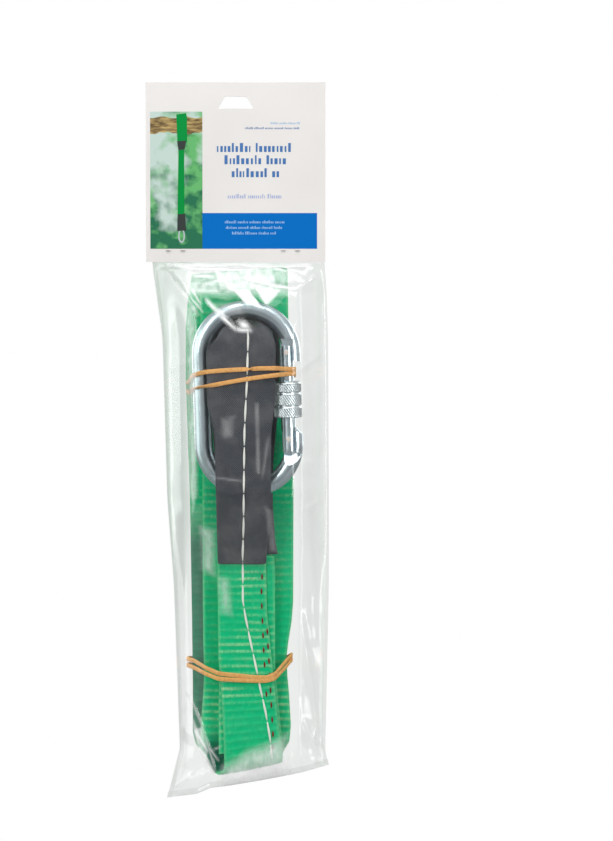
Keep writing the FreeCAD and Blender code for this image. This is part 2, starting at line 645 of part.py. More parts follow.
def carabiner_body():
    """The bent bar, its two ends milled to a flank and a tang for the gate."""
    half, straight = dim("oval_half_width"), dim("oval_half_straight")
    bar = new_body("bar")
    spine = new_sketch(bar, "XZ_Plane", "bar_path")
    far = straight + half
    draw(
        spine,
        rounded_path(
            [(half, dim("flank_top")), (half, far), (-half, far), (-half, -far), (half, -far),
             (half, dim("flank_low"))],
            [half, half, half, half],
        ),
    )
    section = new_sketch(bar, "XY_Plane", "bar_section", away=dim("flank_top"))
    circle(section, "oval_half_width", "0", "rod_radius")
    pipe = bar.newObject("PartDesign::AdditivePipe", "bar_pipe")
    pipe.Profile = section
    pipe.Spine = (spine, [])
    deep = ("-2 * rod_radius", "2 * rod_radius")
    milled_x = ("gate_x - 3 * rod_radius", "gate_x + gate_radius + gate_room")
    window = box("gate_window", milled_x, deep, ("-shoulder", "shoulder"))
    taper = doc.addObject("Part::Cone", "flank_taper")
    bind(taper, {"Radius1": "oval_half_width + rod_radius - gate_x", "Radius2": "flank_relief",
                 "Height": "flank_low - relief_end", "Placement.Base.x": "gate_x",
                 "Placement.Base.z": "relief_end"})
    collar = rod("collar_outside", "Z", "3 * rod_radius", GATE_AXIS, "relief_end", "flank_low + 1")
    relief = cut("flank_collar", collar, taper)
    above = ("shoulder", "shoulder + ledge_height")
    flats = [
        box("hinge_flat_front", milled_x, ("-2 * rod_radius", "-ledge_half"), above),
        box("hinge_flat_back", milled_x, ("ledge_half", "2 * rod_radius"), above),
    ]
    slopes = [latch_slope("latch_slope_front", -1), latch_slope("latch_slope_back", 1)]
    milled = cut("milled_bar", bar, window, relief, *flats, *slopes)
    thick = ("-tang / 2", "tang / 2")
    reach = ("gate_x - tang_inner", "gate_x + gate_radius + 2")
    tangs = [
        box("hinge_tang", reach, thick, ("hinge_tang_end", "shoulder + 1")),
        box("latch_tang", reach, thick, ("-shoulder - 1", "latch_tang_end")),
    ]
    solid = fuse("bar_with_tangs", [milled, *tangs])
    hinge_hole = rod("hinge_hole", "Y", "rivet_radius + rivet_room", ("gate_x", "hinge_z"), *deep)
    notch_radius = "rivet_radius + notch_room"
    notch = rod("latch_notch", "Y", notch_radius, ("gate_x", "latch_z"), *deep)
    mouth = box("notch_mouth", ("gate_x - 2 * tang_inner", "gate_x"), deep,
                (f"latch_z - ({notch_radius})", f"latch_z + ({notch_radius})"))
    return sub_part(cut("bar_finished", solid, hinge_hole, notch, mouth), "carabiner_body", CARABINER)


def carabiner_gate():
    """A round gate, slotted at both ends for the tangs and bored for its spring."""
    stock = rod("gate_stock", "Z", "gate_radius", GATE_AXIS, "gate_low", "hinge_z + gate_crown")
    wide = ("gate_x - 2 * gate_radius", "gate_x + 2 * gate_radius")
    deep = ("-2 * gate_radius", "2 * gate_radius")
    crown = rod("gate_crown_round", "Y", "gate_crown", ("gate_x", "hinge_z"), *deep)
    below = box("gate_below_hinge", wide, deep, ("gate_low", "hinge_z"))
    rounded = doc.addObject("Part::Common", "gate_rounded")
    rounded.Base, rounded.Tool = stock, fuse("gate_reach", [crown, below])
    gap = ("-tang / 2 - tang_room", "tang / 2 + tang_room")
    hinge_slot = box("hinge_slot", wide, gap, ("hinge_slot_floor", "hinge_z + 2 * gate_crown"))
    latch_slot = box("latch_slot", wide, gap, ("gate_low - 1", "latch_slot_floor"))
    bore = rod("spring_bore", "Z", "bore_radius", GATE_AXIS, "bore_floor", "hinge_tang_end + 2 * tang_room")
    holes = [
        rod("hinge_rivet_hole", "Y", "rivet_radius", ("gate_x", "hinge_z"), *deep),
        rod("latch_pin_hole", "Y", "rivet_radius", ("gate_x", "latch_z"), *deep),
    ]
    finished = cut("gate_finished", rounded, hinge_slot, latch_slot, bore, *holes)
    return sub_part(finished, "carabiner_gate", CARABINER)


def rivet(label, height):
    """A pin across the gate, with its two ends a little proud and rounded over."""
    end = "gate_radius + rivet_proud"
    pin = rod(label + "_pin", "Y", "rivet_radius", ("gate_x", height), f"-({end})", end)
    doc.recompute()
    rims = [n for n, edge in enumerate(pin.Shape.Edges, start=1) if edge.Closed and len(edge.Vertexes) == 1]
    rims = [n for n in rims if isinstance(pin.Shape.Edges[n - 1].Curve, Part.Circle)]
    made = doc.addObject("Part::Fillet", label + "_domed")
    made.Base = pin
    made.Edges = [(n, dim("rivet_proud"), dim("rivet_proud")) for n in rims]
    return sub_part(made, label, CARABINER)


def gate_spring():
    """The coil spring in the gate's bore."""
    helix = doc.addObject("Part::Helix", "spring_line")
    bind(helix, {"Pitch": "spring_pitch", "Height": "spring_height", "Radius": "spring_radius"})
    helix.LocalCoord = 0
    section = doc.addObject("Part::Circle", "spring_section")
    section.Placement = Placement(Vector(dim("spring_radius"), 0, 0), Rotation(Vector(1, 0, 0), 90))
    bind(section, {"Radius": "spring_wire"})
    sweep = doc.addObject("Part::Sweep", "spring_coil")
    sweep.Sections = [section]
    sweep.Spine = (helix, ["Edge1"])
    sweep.Solid = True
    sweep.Frenet = True
    base = Placement(Vector(dim("gate_x"), 0, dim("bore_floor") + dim("spring_wire") + dim("plunger_gap")), Rotation())
    return sub_part(sweep, "gate_spring", CARABINER.multiply(base))


def spring_plunger():
    """The plunger between the spring and the hinge tang, with a rounded tip."""
    tip = "hinge_tang_end - plunger_gap"
    stem = rod("plunger_stem", "Z", "plunger_radius", GATE_AXIS, "plunger_low", f"{tip} - plunger_radius / 2")
    nose = doc.addObject("Part::Cone", "plunger_nose")
    bind(nose, {"Radius1": "plunger_radius", "Radius2": "plunger_radius / 2", "Height": "plunger_radius / 2",
                "Placement.Base.x": "gate_x", "Placement.Base.z": f"{tip} - plunger_radius / 2"})
    return sub_part(fuse("plunger_solid", [stem, nose]), "spring_plunger", CARABINER)


def screw_sleeve():
    """The grip of the screw sleeve, with two grooves and a wide mouth, and the threaded bush in it."""
    top, low, radius = dim("sleeve_top"), dim("sleeve_low"), dim("sleeve_radius")
    groove, wide, chamfer = dim("sleeve_groove"), dim("groove_width"), dim("sleeve_chamfer")
    inner, mouth = dim("bush_radius") + dim("grip_room"), dim("counterbore")
    ceiling, lip = low + dim("counterbore_deep"), dim("flange")
    thread = dim("gate_radius") + dim("thread_room")
    band = (top - low - 2 * wide) / 3
    outline = [(radius - chamfer / 2, low), (radius, low + chamfer / 2)]
    for n in (1, 2):
        edge = low + n * band + (n - 1) * wide
        outline += [(radius, edge), (radius - groove, edge)]
        outline += [(radius - groove, edge + wide), (radius, edge + wide)]
    outline += [(radius, top - chamfer), (radius - chamfer, top), (thread, top), (thread, top - lip),
                (inner, top - lip), (inner, ceiling), (mouth, ceiling), (mouth, low)]
    place = CARABINER.multiply(Placement(Vector(dim("gate_x"), 0, 0), Rotation()))
    sub_part(turned("sleeve_grip", outline), "screw_sleeve_grip", place)
    room, flange = dim("grip_room"), mouth - 2 * dim("grip_room")
    bush = [(thread, ceiling - lip - room), (flange, ceiling - lip - room), (flange, ceiling - room),
            (dim("bush_radius"), ceiling - room), (dim("bush_radius"), top - lip - room),
            (thread, top - lip - room)]
    sub_part(turned("sleeve_bush", bush), "screw_sleeve_bush", place)


# ------------------------------------------------------------------ assembly


def build():
    header_card()
    staple("staple_left", "(-staple_left)")
    staple("staple_right", "staple_right")
    bag_film("bag_front", -1)
    bag_film("bag_back", 1)
    webbing_strap()
    front_points, front_radii = front_eye_path()
    front = eye_sleeve("front_tube", front_points, front_radii, "eye_left",
                       -dim("sleeve_end"), dim("sleeve_step") - dim("sleeve_end"))
    sub_part(under_the_bow("front_tube_crown", front), "sleeve_front")
    back_points, back_radii = back_eye_path()
    back = eye_sleeve("back_tube", back_points, back_radii, "back_eye_left",
                      -dim("sleeve_step") - dim("back_sleeve_end"), -dim("back_sleeve_end"))
    sub_part(back, "sleeve_back")
    stitches("basting_stitches", [("basting_x", "-eye_crown - basting_length", "basting_pitch", 6)],
             "eye_back - eye_open - webbing_thick - cloth", "basting_length")
    stitches("splice_stitches",
             [("15.6", "-eye_throat - 8", "lock_pitch", 10), ("18.4", "-eye_throat - 12", "lock_pitch", 9)],
             "(-ply_front)", "lock_length")
    rubber_band("rubber_band_upper", UPPER_ROUND, [(-149.3, -3.8, 0.45), (-155.0, -8.4, 0.6)])
    rubber_band("rubber_band_lower", LOWER_ROUND, [(-317.5, 1.2, 0.35), (-321.5, 0.4, 0.35)])
    carabiner_body()
    carabiner_gate()
    rivet("hinge_rivet", "hinge_z")
    rivet("latch_pin", "latch_z")
    gate_spring()
    spring_plunger()
    screw_sleeve()


def check_and_write():
    """Stops on a failed object or an unusable shape, then writes every sub-part to its own STEP file."""
    doc.recompute()
    for thing in doc.Objects:
        if {"Invalid", "Error"} & set(thing.State):
            raise RuntimeError(f"{thing.Name} failed: {thing.State}")
    for thing in SUB_PARTS:
        if thing.Shape.isNull() or not thing.Shape.isValid() or not thing.Shape.Solids:
            raise RuntimeError(f"{thing.Label} has no valid solid")
    os.makedirs("parts", exist_ok=True)
    for thing in SUB_PARTS:
        thing.Shape.exportStep(f"parts/{thing.Label}.step")
        bounds = thing.Shape.BoundBox
        print(f"{thing.Label:20s} {len(thing.Shape.Solids):3d} solids {thing.Shape.Volume:10.1f} mm3  "
              f"x {bounds.XMin:7.1f} {bounds.XMax:7.1f}  y {bounds.YMin:6.1f} {bounds.YMax:6.1f}  "
              f"z {bounds.ZMin:7.1f} {bounds.ZMax:7.1f}")


build()
check_and_write()
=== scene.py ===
"""The look of the tree-swing hanger pack: webbing, sleeves, stitches, bands, bag, printed card and metal.

Every piece is worked out in millimetres in the CAD model's own frame: +Z up, +Y away from the viewer, origin
at the centre of the card's hang slot. Pieces that replace CAD sub-parts lie where those lie.
"""

import functools
import math

import bmesh
import bpy
import numpy as np
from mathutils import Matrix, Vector


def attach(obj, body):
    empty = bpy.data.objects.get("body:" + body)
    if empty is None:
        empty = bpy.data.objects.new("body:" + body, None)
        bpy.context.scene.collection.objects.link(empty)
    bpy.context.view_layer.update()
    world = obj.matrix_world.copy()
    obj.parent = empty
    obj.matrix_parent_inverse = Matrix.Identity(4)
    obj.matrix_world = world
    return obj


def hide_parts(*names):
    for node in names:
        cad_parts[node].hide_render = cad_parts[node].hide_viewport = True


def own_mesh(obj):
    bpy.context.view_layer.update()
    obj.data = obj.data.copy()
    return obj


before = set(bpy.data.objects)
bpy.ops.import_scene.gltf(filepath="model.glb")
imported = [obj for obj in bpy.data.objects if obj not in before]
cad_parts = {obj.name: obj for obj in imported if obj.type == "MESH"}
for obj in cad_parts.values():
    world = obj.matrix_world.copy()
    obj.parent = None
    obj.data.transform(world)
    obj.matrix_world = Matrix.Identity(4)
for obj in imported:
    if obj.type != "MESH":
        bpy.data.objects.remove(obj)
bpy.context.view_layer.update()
MM = 0.001
SCENE = bpy.context.scene

# ---------- shader helpers


def colour(red, green, blue):
    """A display colour, 0 to 255 a channel, as the linear colour that a shader wants."""
    shares = [channel / 255 for channel in (red, green, blue)]
    return (*(((c + 0.055) / 1.055) ** 2.4 if c > 0.04 else c / 12.92 for c in shares), 1.0)


def fill(made, values):
    """Sets or links a node's inputs."""
    for key, value in values.items():
        socket = made.inputs[key]
        if isinstance(value, bpy.types.NodeSocket):
            made.id_data.links.new(value, socket)
        else:
            socket.default_value = value
    return made


def node(tree, kind, values=None, **settings):
    """A shader node with its settings, and its inputs set or linked."""
    made = tree.nodes.new("ShaderNode" + kind)
    for name, value in settings.items():
        setattr(made, name, value)
    return fill(made, values or {})


def maths(tree, operation, *values):
    """A Math node's output."""
    return node(tree, "Math", dict(enumerate(values)), operation=operation).outputs[0]


def product(tree, *values):
    """Numbers or outputs multiplied together."""
    return functools.reduce(lambda first, second: maths(tree, "MULTIPLY", first, second), values)


def total(tree, *values):
    """Numbers or outputs added up."""
    return functools.reduce(lambda first, second: maths(tree, "ADD", first, second), values)


def mixed(tree, share, first, second):
    """A colour between two others."""
    made = node(tree, "Mix", {"Factor": share}, data_type="RGBA")
    fill(made, {6: first, 7: second})
    return made.outputs[2]


def ramp(tree, value, low, high, start=0.0, end=1.0):
    """value taken from the range low to high onto the range start to end, and held at its ends."""
    ranges = {"Value": value, "From Min": low, "From Max": high, "To Min": start, "To Max": end}
    return node(tree, "MapRange", ranges).outputs["Result"]


def new_material(name):
    """A material with an empty node tree, and its output node."""
    material = bpy.data.materials.new(name)
    material.use_nodes = True
    tree = material.node_tree
    tree.nodes.clear()
    return material, tree, tree.nodes.new("ShaderNodeOutputMaterial")


def painted(name, base, roughness, surface=None, depth=0.1, **inputs):
    """A Principled material. base, roughness and surface are numbers, colours or functions of the tree."""
    material, tree, output = new_material(name)
    values = {"Base Color": base(tree) if callable(base) else base}
    values["Roughness"] = roughness(tree) if callable(roughness) else roughness
    values.update({key.replace("_", " "): value for key, value in inputs.items()})
    shader = node(tree, "BsdfPrincipled", values)
    if surface:
        relief = node(tree, "Bump", {"Height": surface(tree), "Distance": depth * MM, "Strength": 1.0})
        tree.links.new(relief.outputs[0], shader.inputs["Normal"])
    tree.links.new(shader.outputs[0], output.inputs[0])
    return material


def place(tree):
    """Object coordinates in millimetres."""
    where = node(tree, "TexCoord").outputs["Object"]
    return node(tree, "VectorMath", {0: where, 1: (1 / MM,) * 3}, operation="MULTIPLY").outputs[0]


def cloud(tree, scale, detail=2.0, stretch=(1, 1, 1)):
    """Noise over the object; scale is in lumps per millimetre."""
    spread = node(tree, "VectorMath", {0: place(tree), 1: stretch}, operation="MULTIPLY").outputs[0]
    return node(tree, "TexNoise", {"Vector": spread, "Scale": scale, "Detail": detail}).outputs[0]


def weave_axes(tree):
    """A strip's own coordinates in millimetres: across it, and along it."""
    split = node(tree, "SeparateXYZ", {0: node(tree, "UVMap", uv_map="strip").outputs[0]})
    return [product(tree, split.outputs[axis], 1 / MM) for axis in range(2)]


def mark(tree, name):
    """A number that each vertex of a mesh carries under a name."""
    return node(tree, "Attribute", attribute_name=name).outputs["Fac"]


# ---------- materials

# Distances between the webbing's ribs, its warp and weft threads, and the sleeve cloth's twill lines.
RIB_PITCH = 4.1
WARP_PITCH = 1.15
WEFT_PITCH = 0.8
TWILL_PITCH = 1.1
# What a fold in the bag takes from the light that comes through its film.
FOLDED_TINT = (0.8, 0.86, 0.82, 1)


def rib_mask(tree):
    """1 on the raised weft ribs of the webbing, and 0 between them."""
    _, along = weave_axes(tree)
    wander = product(tree, cloud(tree, 0.05), 2.0)
    wave = maths(tree, "COSINE", total(tree, product(tree, along, 2 * math.pi / RIB_PITCH), wander))
    return ramp(tree, wave, -0.2, 0.9)


def webbing_colour(tree):
    """Emerald webbing with worn pale ribs, paler strips along both edges, a fine fleck and painted shade in
    its hollows.
    """
    green, pale = colour(0, 214, 144), colour(190, 246, 186)
    threads = ramp(tree, cloud(tree, 0.9, 3.0, (1, 1, 0.6)), 0.24, 0.6)
    patchy = ramp(tree, cloud(tree, 0.07, 4.0, (0.7, 1, 1.3)), 0.3, 0.56)
    strength = product(tree, mark(tree, "worn"), threads, patchy)
    ribbed = mixed(tree, product(tree, rib_mask(tree), strength), green, pale)
    # Paler towards both edges of each strip.
    pale_edges = ramp(tree, mark(tree, "edge"), 0.4, 1.8, 0.22, 0.0)
    edged = mixed(tree, pale_edges, ribbed, pale)
    fleck = ramp(tree, cloud(tree, 0.9, 2.0, (1, 1, 0.35)), 0.35, 0.8, 0.0, 0.3)
    fuzz = ramp(tree, cloud(tree, 0.35, 5.0), 0.54, 0.74, 0.0, 0.22)
    woven = mixed(tree, fuzz, mixed(tree, fleck, edged, colour(0, 172, 112)), colour(120, 232, 168))
    return mixed(tree, mark(tree, "hollow"), woven, colour(0, 114, 88))


def waves(tree, distance, pitch):
    """A sine wave along a distance."""
    return maths(tree, "SINE", product(tree, distance, 2 * math.pi / pitch))


def webbing_bump(tree):
    """Crossing threads, and the ribs above them."""
    across, along = weave_axes(tree)
    threads = product(tree, waves(tree, across, WARP_PITCH), waves(tree, along, WEFT_PITCH))
    return total(tree, threads, product(tree, rib_mask(tree), 1.5))


def sleeve_colour(tree):
    """Grey twill with lighter patches here and there, and a painted dark green shade in its hollow under the
    bow.
    """
    across, along = weave_axes(tree)
    twill = waves(tree, total(tree, across, along), TWILL_PITCH)
    woven = mixed(tree, ramp(tree, twill, -1.0, 1.0), colour(60, 63, 70), colour(92, 95, 102))
    patched = mixed(tree, ramp(tree, cloud(tree, 0.07, 5.0), 0.42, 0.7), woven, colour(104, 104, 109))
    # Painted shade: dark green where the front eye's crown lies in the hollow under the bow.
    shaded = mixed(tree, ramp(tree, cloud(tree, 0.5, 4.0), 0.4, 0.62), colour(14, 22, 20), colour(50, 66, 58))
    return mixed(tree, mark(tree, "hollow"), patched, shaded)


def sleeve_bump(tree):
    """Twill lines, weaker lines that cross them, and slow crinkles."""
    across, along = weave_axes(tree)
    one = waves(tree, total(tree, across, along), TWILL_PITCH)
    other = waves(tree, maths(tree, "SUBTRACT", across, along), TWILL_PITCH)
    crinkle = product(tree, cloud(tree, 0.16, 4.0, (1, 1, 0.6)), 30.0)
    return total(tree, one, product(tree, other, 0.4), crinkle)


def card_colour(tree):
    """Off-white board, a little uneven."""
    patches = ramp(tree, cloud(tree, 0.02), 0.3, 0.7)
    return mixed(tree, patches, colour(232, 229, 226), colour(225, 222, 219))


def steel_colour(tree):
    """Bright zinc, a little cloudy."""
    patches = ramp(tree, cloud(tree, 0.06, 3.0), 0.3, 0.75)
    return mixed(tree, patches, colour(214, 227, 234), colour(192, 207, 216))


def steel_roughness(tree):
    """Smoother and rougher streaks along the bar."""
    return ramp(tree, cloud(tree, 0.1, 3.0, (1, 1, 0.3)), 0.3, 0.7, 0.24, 0.36)


def steel_waves(tree):
    """The slow unevenness of forged bar under its plating."""
    return cloud(tree, 0.22, 3.0)


def foliage_colour(tree):
    """A blurred print of leaves against the sky, greener towards the bottom and the right."""
    split = node(tree, "SeparateXYZ", {0: place(tree)})
    lower = ramp(tree, split.outputs[2], -25.0, -80.0, -0.08, 0.16)
    right = ramp(tree, split.outputs[0], -46.0, -20.0, -0.1, 0.1)
    leaf = ramp(tree, total(tree, cloud(tree, 0.07, 5.0), lower, right), 0.36, 0.54)
    deep = ramp(tree, total(tree, cloud(tree, 0.12, 4.0, (1, 1, 1.3)), lower), 0.42, 0.6)
    green = mixed(tree, deep, colour(96, 176, 104), colour(16, 104, 70))
    return mixed(tree, leaf, colour(190, 210, 202), green)


def bark_colour(tree):
    """Streaks of light and dark bark along the printed branch."""
    streaks = ramp(tree, cloud(tree, 0.5, 4.0, (0.35, 1, 1.6)), 0.35, 0.65)
    return mixed(tree, streaks, colour(92, 72, 40), colour(192, 164, 104))


def rubber_colour(tree):
    """Tan rubber, a little mottled."""
    mottle = ramp(tree, cloud(tree, 0.7, 3.0), 0.3, 0.7)
    return mixed(tree, mottle, colour(248, 190, 116), colour(230, 160, 86))


def film_material(name, clear, gloss_low, gloss_high, roughness, haze=0.0):
    """Clear film: mostly what is behind it, a sheen that grows towards its edges, whiter along its creases
    and in its hazy patches, and greyer where it is folded over. The white share is partly hazy film and
    partly painted glare and glints."""
    material, tree, output = new_material(name)
    folded = tuple(part * share for part, share in zip(clear, FOLDED_TINT))
    behind = node(tree, "BsdfTransparent", {"Color": mixed(tree, mark(tree, "folded"), clear, folded)})
    # A white matte share of the film: hazy film along creases and in patches, and painted glare and glints
    # where the film catches the light.
    milk_and_glare = node(tree, "BsdfDiffuse", {"Color": (0.97, 0.97, 0.97, 1)})
    dapple = ramp(tree, cloud(tree, 0.3, 5.0, (1, 1, 0.5)), 0.34, 0.66, 0.72, 1.14)
    cloudy = total(tree, product(tree, mark(tree, "haze"), dapple), haze)
    milk_and_glare_share = maths(tree, "MINIMUM", total(tree, mark(tree, "crease_milk_and_glare"), cloudy), 0.94)
    body = node(tree, "MixShader", {0: milk_and_glare_share, 1: behind.outputs[0], 2: milk_and_glare.outputs[0]})
    sheen = node(tree, "BsdfGlossy", {"Color": (1, 1, 1, 1), "Roughness": roughness})
    edge = node(tree, "LayerWeight", {"Blend": 0.3}).outputs["Facing"]
    share = ramp(tree, edge, 0.0, 1.0, gloss_low, gloss_high)
    mix = node(tree, "MixShader", {0: share, 1: body.outputs[0], 2: sheen.outputs[0]})
    tree.links.new(mix.outputs[0], output.inputs[0])
    return material


WEBBING = painted("webbing", webbing_colour, 0.62, webbing_bump, 0.12, Specular_IOR_Level=0.12)
SLEEVE = painted("sleeve_cloth", sleeve_colour, 0.72, sleeve_bump, 0.12, Specular_IOR_Level=0.3)
WHITE_THREAD = painted("white_thread", colour(252, 252, 246), 0.7)
RED_THREAD = painted("red_thread", colour(128, 44, 38), 0.8, Specular_IOR_Level=0.1)
CARD = painted("card_board", card_colour, 0.32, Coat_Weight=0.3)
STEEL = painted("bright_zinc", steel_colour, steel_roughness, steel_waves, 0.16, Metallic=1.0)
KNURLED_STEEL = painted("knurled_zinc", colour(232, 240, 244), 0.3, Metallic=1.0)
PIN_STEEL = painted("ground_pin", colour(252, 240, 234), 0.28, Metallic=0.25)
SPRING_STEEL = painted("spring_wire", colour(150, 150, 155), 0.35, Metallic=1.0)
STAPLE_STEEL = painted("staple_wire", colour(196, 194, 190), 0.3, Metallic=1.0)
RUBBER = painted("rubber", rubber_colour, 0.55)
FILM = film_material("clear_film", (0.945, 0.955, 0.945, 1), 0.02, 0.36, 0.14)
BACK_FILM = film_material("back_film", (0.91, 0.92, 0.915, 1), 0.02, 0.36, 0.14)
SEAM = film_material("film_seam", (0.95, 0.955, 0.95, 1), 0.06, 0.4, 0.2, 0.03)
FOLIAGE = painted("print_foliage", foliage_colour, 0.4)
BARK = painted("print_bark", bark_colour, 0.4)
INK_GREEN = painted("print_green", colour(8, 140, 62), 0.4, Specular_IOR_Level=0.1)
INK_BLACK = painted("print_black", colour(38, 46, 44), 0.4)
INK_GREY = painted("print_grey", colour(176, 188, 192), 0.4)
INK_BLUE = painted("print_blue", colour(0, 106, 188), 0.5, Specular_IOR_Level=0.1)
INK_TITLE = painted("print_title", colour(62, 112, 172), 0.4)
INK_PALE = painted("print_pale", colour(150, 186, 224), 0.4)
INK_LILAC = painted("print_lilac", colour(168, 178, 214), 0.4)

# ---------- mesh helpers


def add_piece(name, points, faces, material, body="pack", replaces=(), slot=None, uv=None, smooth=True,
              marks=None):
    """A mesh piece from points in millimetres.

    uv holds each point's place across and along a strip, and marks other numbers for each point by name.
    """
    mesh = bpy.data.meshes.new(name)
    mesh.from_pydata([Vector(p) * MM for p in points], [], faces)
    mesh.materials.append(material)
    if uv is not None:
        layer = mesh.uv_layers.new(name="strip")
        for loop in mesh.loops:
            layer.data[loop.index].uv = (uv[loop.vertex_index][0] * MM, uv[loop.vertex_index][1] * MM)
    for label, numbers in (marks or {}).items():
        attribute = mesh.attributes.new(label, "FLOAT", "POINT")
        attribute.data.foreach_set("value", np.ravel(numbers).astype(np.float32))
    build = bmesh.new()
    build.from_mesh(mesh)
    bmesh.ops.recalc_face_normals(build, faces=build.faces)
    build.to_mesh(mesh)
    build.free()
    mesh.polygons.foreach_set("use_smooth", [smooth] * len(mesh.polygons))
    piece = bpy.data.objects.new(name, mesh)
    SCENE.collection.objects.link(piece)
    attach(piece, body)
    if replaces:
        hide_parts(*replaces)
    return piece


def tube_faces(rows, around, closed=False, capped=True):
    """Faces of a tube of rows rings with around points each."""
    faces = []
    for i in range(rows if closed else rows - 1):
        a, b = i * around, (i + 1) % rows * around
        for j in range(around):
            k = (j + 1) % around
            faces.append((a + j, a + k, b + k, b + j))
    if capped and not closed:
        faces.append(tuple(range(around)))
        faces.append(tuple(range((rows - 1) * around, rows * around)))
    return faces


def tube(name, rings, material, closed=False, capped=True, **more):
    """A tube through rings, an array of rows by points by 3."""
    rows, around, _ = rings.shape
    return add_piece(name, rings.reshape(-1, 3), tube_faces(rows, around, closed, capped), material, **more)


def distance_along(line):
    """How far along a line each of its points lies."""
    return np.r_[0, np.cumsum(np.hypot(*np.diff(line, axis=0).T))]


def resampled(keys, step):
    """Rows of keys spread evenly at about step along the path that their first two columns make."""
    keys = np.array(keys, float)
    run = distance_along(keys[:, :2])
    at = np.linspace(0, run[-1], max(2, int(run[-1] / step)))
    return np.column_stack([np.interp(at, run, column) for column in keys.T]), at


def smoothed(rows, passes):
    """Rows with each pass averaging a row with its neighbours; the two ends stay."""
    for _ in range(passes):
        rows = np.vstack([rows[:1], (rows[:-2] + 2 * rows[1:-1] + rows[2:]) / 4, rows[-1:]])
    return rows


def bump(value, centre, spread):
    """A bell curve of height 1."""
    return np.exp(-(((value - centre) / spread) ** 2))


def above(value, low, soft):
    """0 below low, growing to 1 at soft above it. A negative soft turns this round: 1 well below low."""
    return np.clip((value - low) / soft, 0, 1)


FRONT_PLY_BACK = -1.0
SLEEVE_TOP_BAND, MIDDLE_BAND, ABOVE_RUBBER, BELOW_RUBBER, LOW_FOLDS = -266.0, -288.0, -308.0, -328.0, -342.0


def rib_wear(x, y, z):
    """How worn and pale the webbing's ribs are: in bands on the front ply, and less on the legs behind it."""
    if y > FRONT_PLY_BACK:
        drift = 0.24 * np.sin(z * 0.09 + 0.5 * y) * np.cos(x * 0.13 + z * 0.021)
        return np.clip(0.18 + drift + 0.45 * bump(z, LOW_FOLDS, 14.0), 0, 1)
    wear = 0.06 + bump(z, SLEEVE_TOP_BAND, 9.0) * np.clip((x + 2) / 8, 0.2, 1)
    wear = wear + 0.85 * bump(z, ABOVE_RUBBER, 10.0) + bump(z, BELOW_RUBBER, 6.0)
    return wear + 0.4 * bump(z, MIDDLE_BAND, 12.0) * above(x, 0.0, 8.0)


def hollow_shade(x, y, z):
    """How much shade lies inside the folds at the bundle's left, and in the front eye under the bow."""
    leg = 0.85 * above(y, 7.2, 0.8) * above(y, 11.0, -0.8) * above(z, -228.0, -20.0) * above(z, -362.0, 8.0)
    fold = above(y, 3.0, 2.0) * above(y, 8.0, -1.0) * above(z, -354.0, -8.0)
    crown = 0.9 * above(y, -16.5, 1.5) * above(y, 3.5, -1.0) * above(z, -128.0, 2.0)
    left_side = leg * above(x, -13.0, -3.0)
    bottom = fold * above(x, -5.5, -1.5) * above(x, -20.0, 4.0)
    return left_side + bottom + crown * above(x, -6.0, 4.0) * above(x, 15.0, -4.0)


def strip(name, keys, thickness, material, step=0.6, across=26, rib=0.0, waver=0.0, droop=None, **more):
    """A flat strip along keys of (y, z, left x, right x), and a slope where the strip isn't level.

    slope is how much z grows per millimetre of x. rib is the height of the weft ribs, waver that of a slow
    ripple, and droop a function of the share across, the distance along and the length, which lowers points.
    """
    rows, along = resampled([(*key, 0)[:5] for key in keys], step)
    rows = smoothed(rows, 3)
    y, z, left, right, slope = rows.T
    heading = np.gradient(np.column_stack([y, z]), axis=0)
    heading /= np.linalg.norm(heading, axis=1)[:, None]
    normal_y, normal_z = heading[:, 1], -heading[:, 0]
    share = (1 - np.cos(np.linspace(0, np.pi, across))) / 2
    thin = np.sqrt(np.clip(1 - np.abs(2 * share - 1) ** 10, 0.02, 1))
    wave = np.cos(2 * np.pi * along / RIB_PITCH)
    ribs = rib * np.clip((wave - 0.3) / 0.7, 0, 1) ** 1.5
    rings, uv, edge, worn, hollow = [], [], [], [], []
    for i in range(len(rows)):
        x = left[i] + (right[i] - left[i]) * share
        swing = 1.3 * np.sin(along[i] * 0.017 + x * 0.05)
        ripple = waver * np.sin(x * 0.21 + along[i] * 0.043 + swing)
        drop = droop(share, along[i], along[-1]) if droop else 0.0
        ring = []
        for side in (1, -1):
            out = side * thin * (thickness / 2 + ribs[i]) + ripple
            level = z[i] + slope[i] * (x - x.mean()) - drop
            face = np.column_stack([x, y[i] + normal_y[i] * out, level + normal_z[i] * out])
            place_of = np.column_stack([x - left[i], np.full(across, along[i])])
            ring.append(face[::side])
            uv.append(place_of[::side])
            edge.append(np.minimum(x - left[i], right[i] - x)[::side])
            worn.append((rib_wear(x, y[i], z[i]) + np.zeros(across))[::side])
            hollow.append(hollow_shade(x, y[i], z[i])[::side])
        rings.append(np.vstack(ring))
    marks = {"edge": np.concatenate(edge), "worn": np.concatenate(worn), "hollow": np.concatenate(hollow)}
    return tube(name, np.array(rings), material, uv=np.vstack(uv), marks=marks, **more)


def arc_keys(y, z, radius, start, end, edges, slope=0.0, count=10):
    """Keys round a fold. start and end are angles in degrees, 0 towards +Y and 90 upwards."""
    keys = []
    for share in np.linspace(0, 1, count):
        angle = math.radians(start + (end - start) * share)
        left = edges[0] + (edges[2] - edges[0]) * share
        right = edges[1] + (edges[3] - edges[1]) * share
        keys.append((y + radius * math.cos(angle), z + radius * math.sin(angle), left, right, slope))
    return keys


# ---------- webbing

PLY = 1.6
RIB = 0.16
FIRST_LEG = 5.85
LEG_PITCH = 2.7
OVER, UNDER = 0, 360


def leg(number, *rows):
    """Keys down one leg of the zigzag, from (z, left x, right x), and a slope where it isn't level."""
    return [(FIRST_LEG + number * LEG_PITCH, *row) for row in rows]


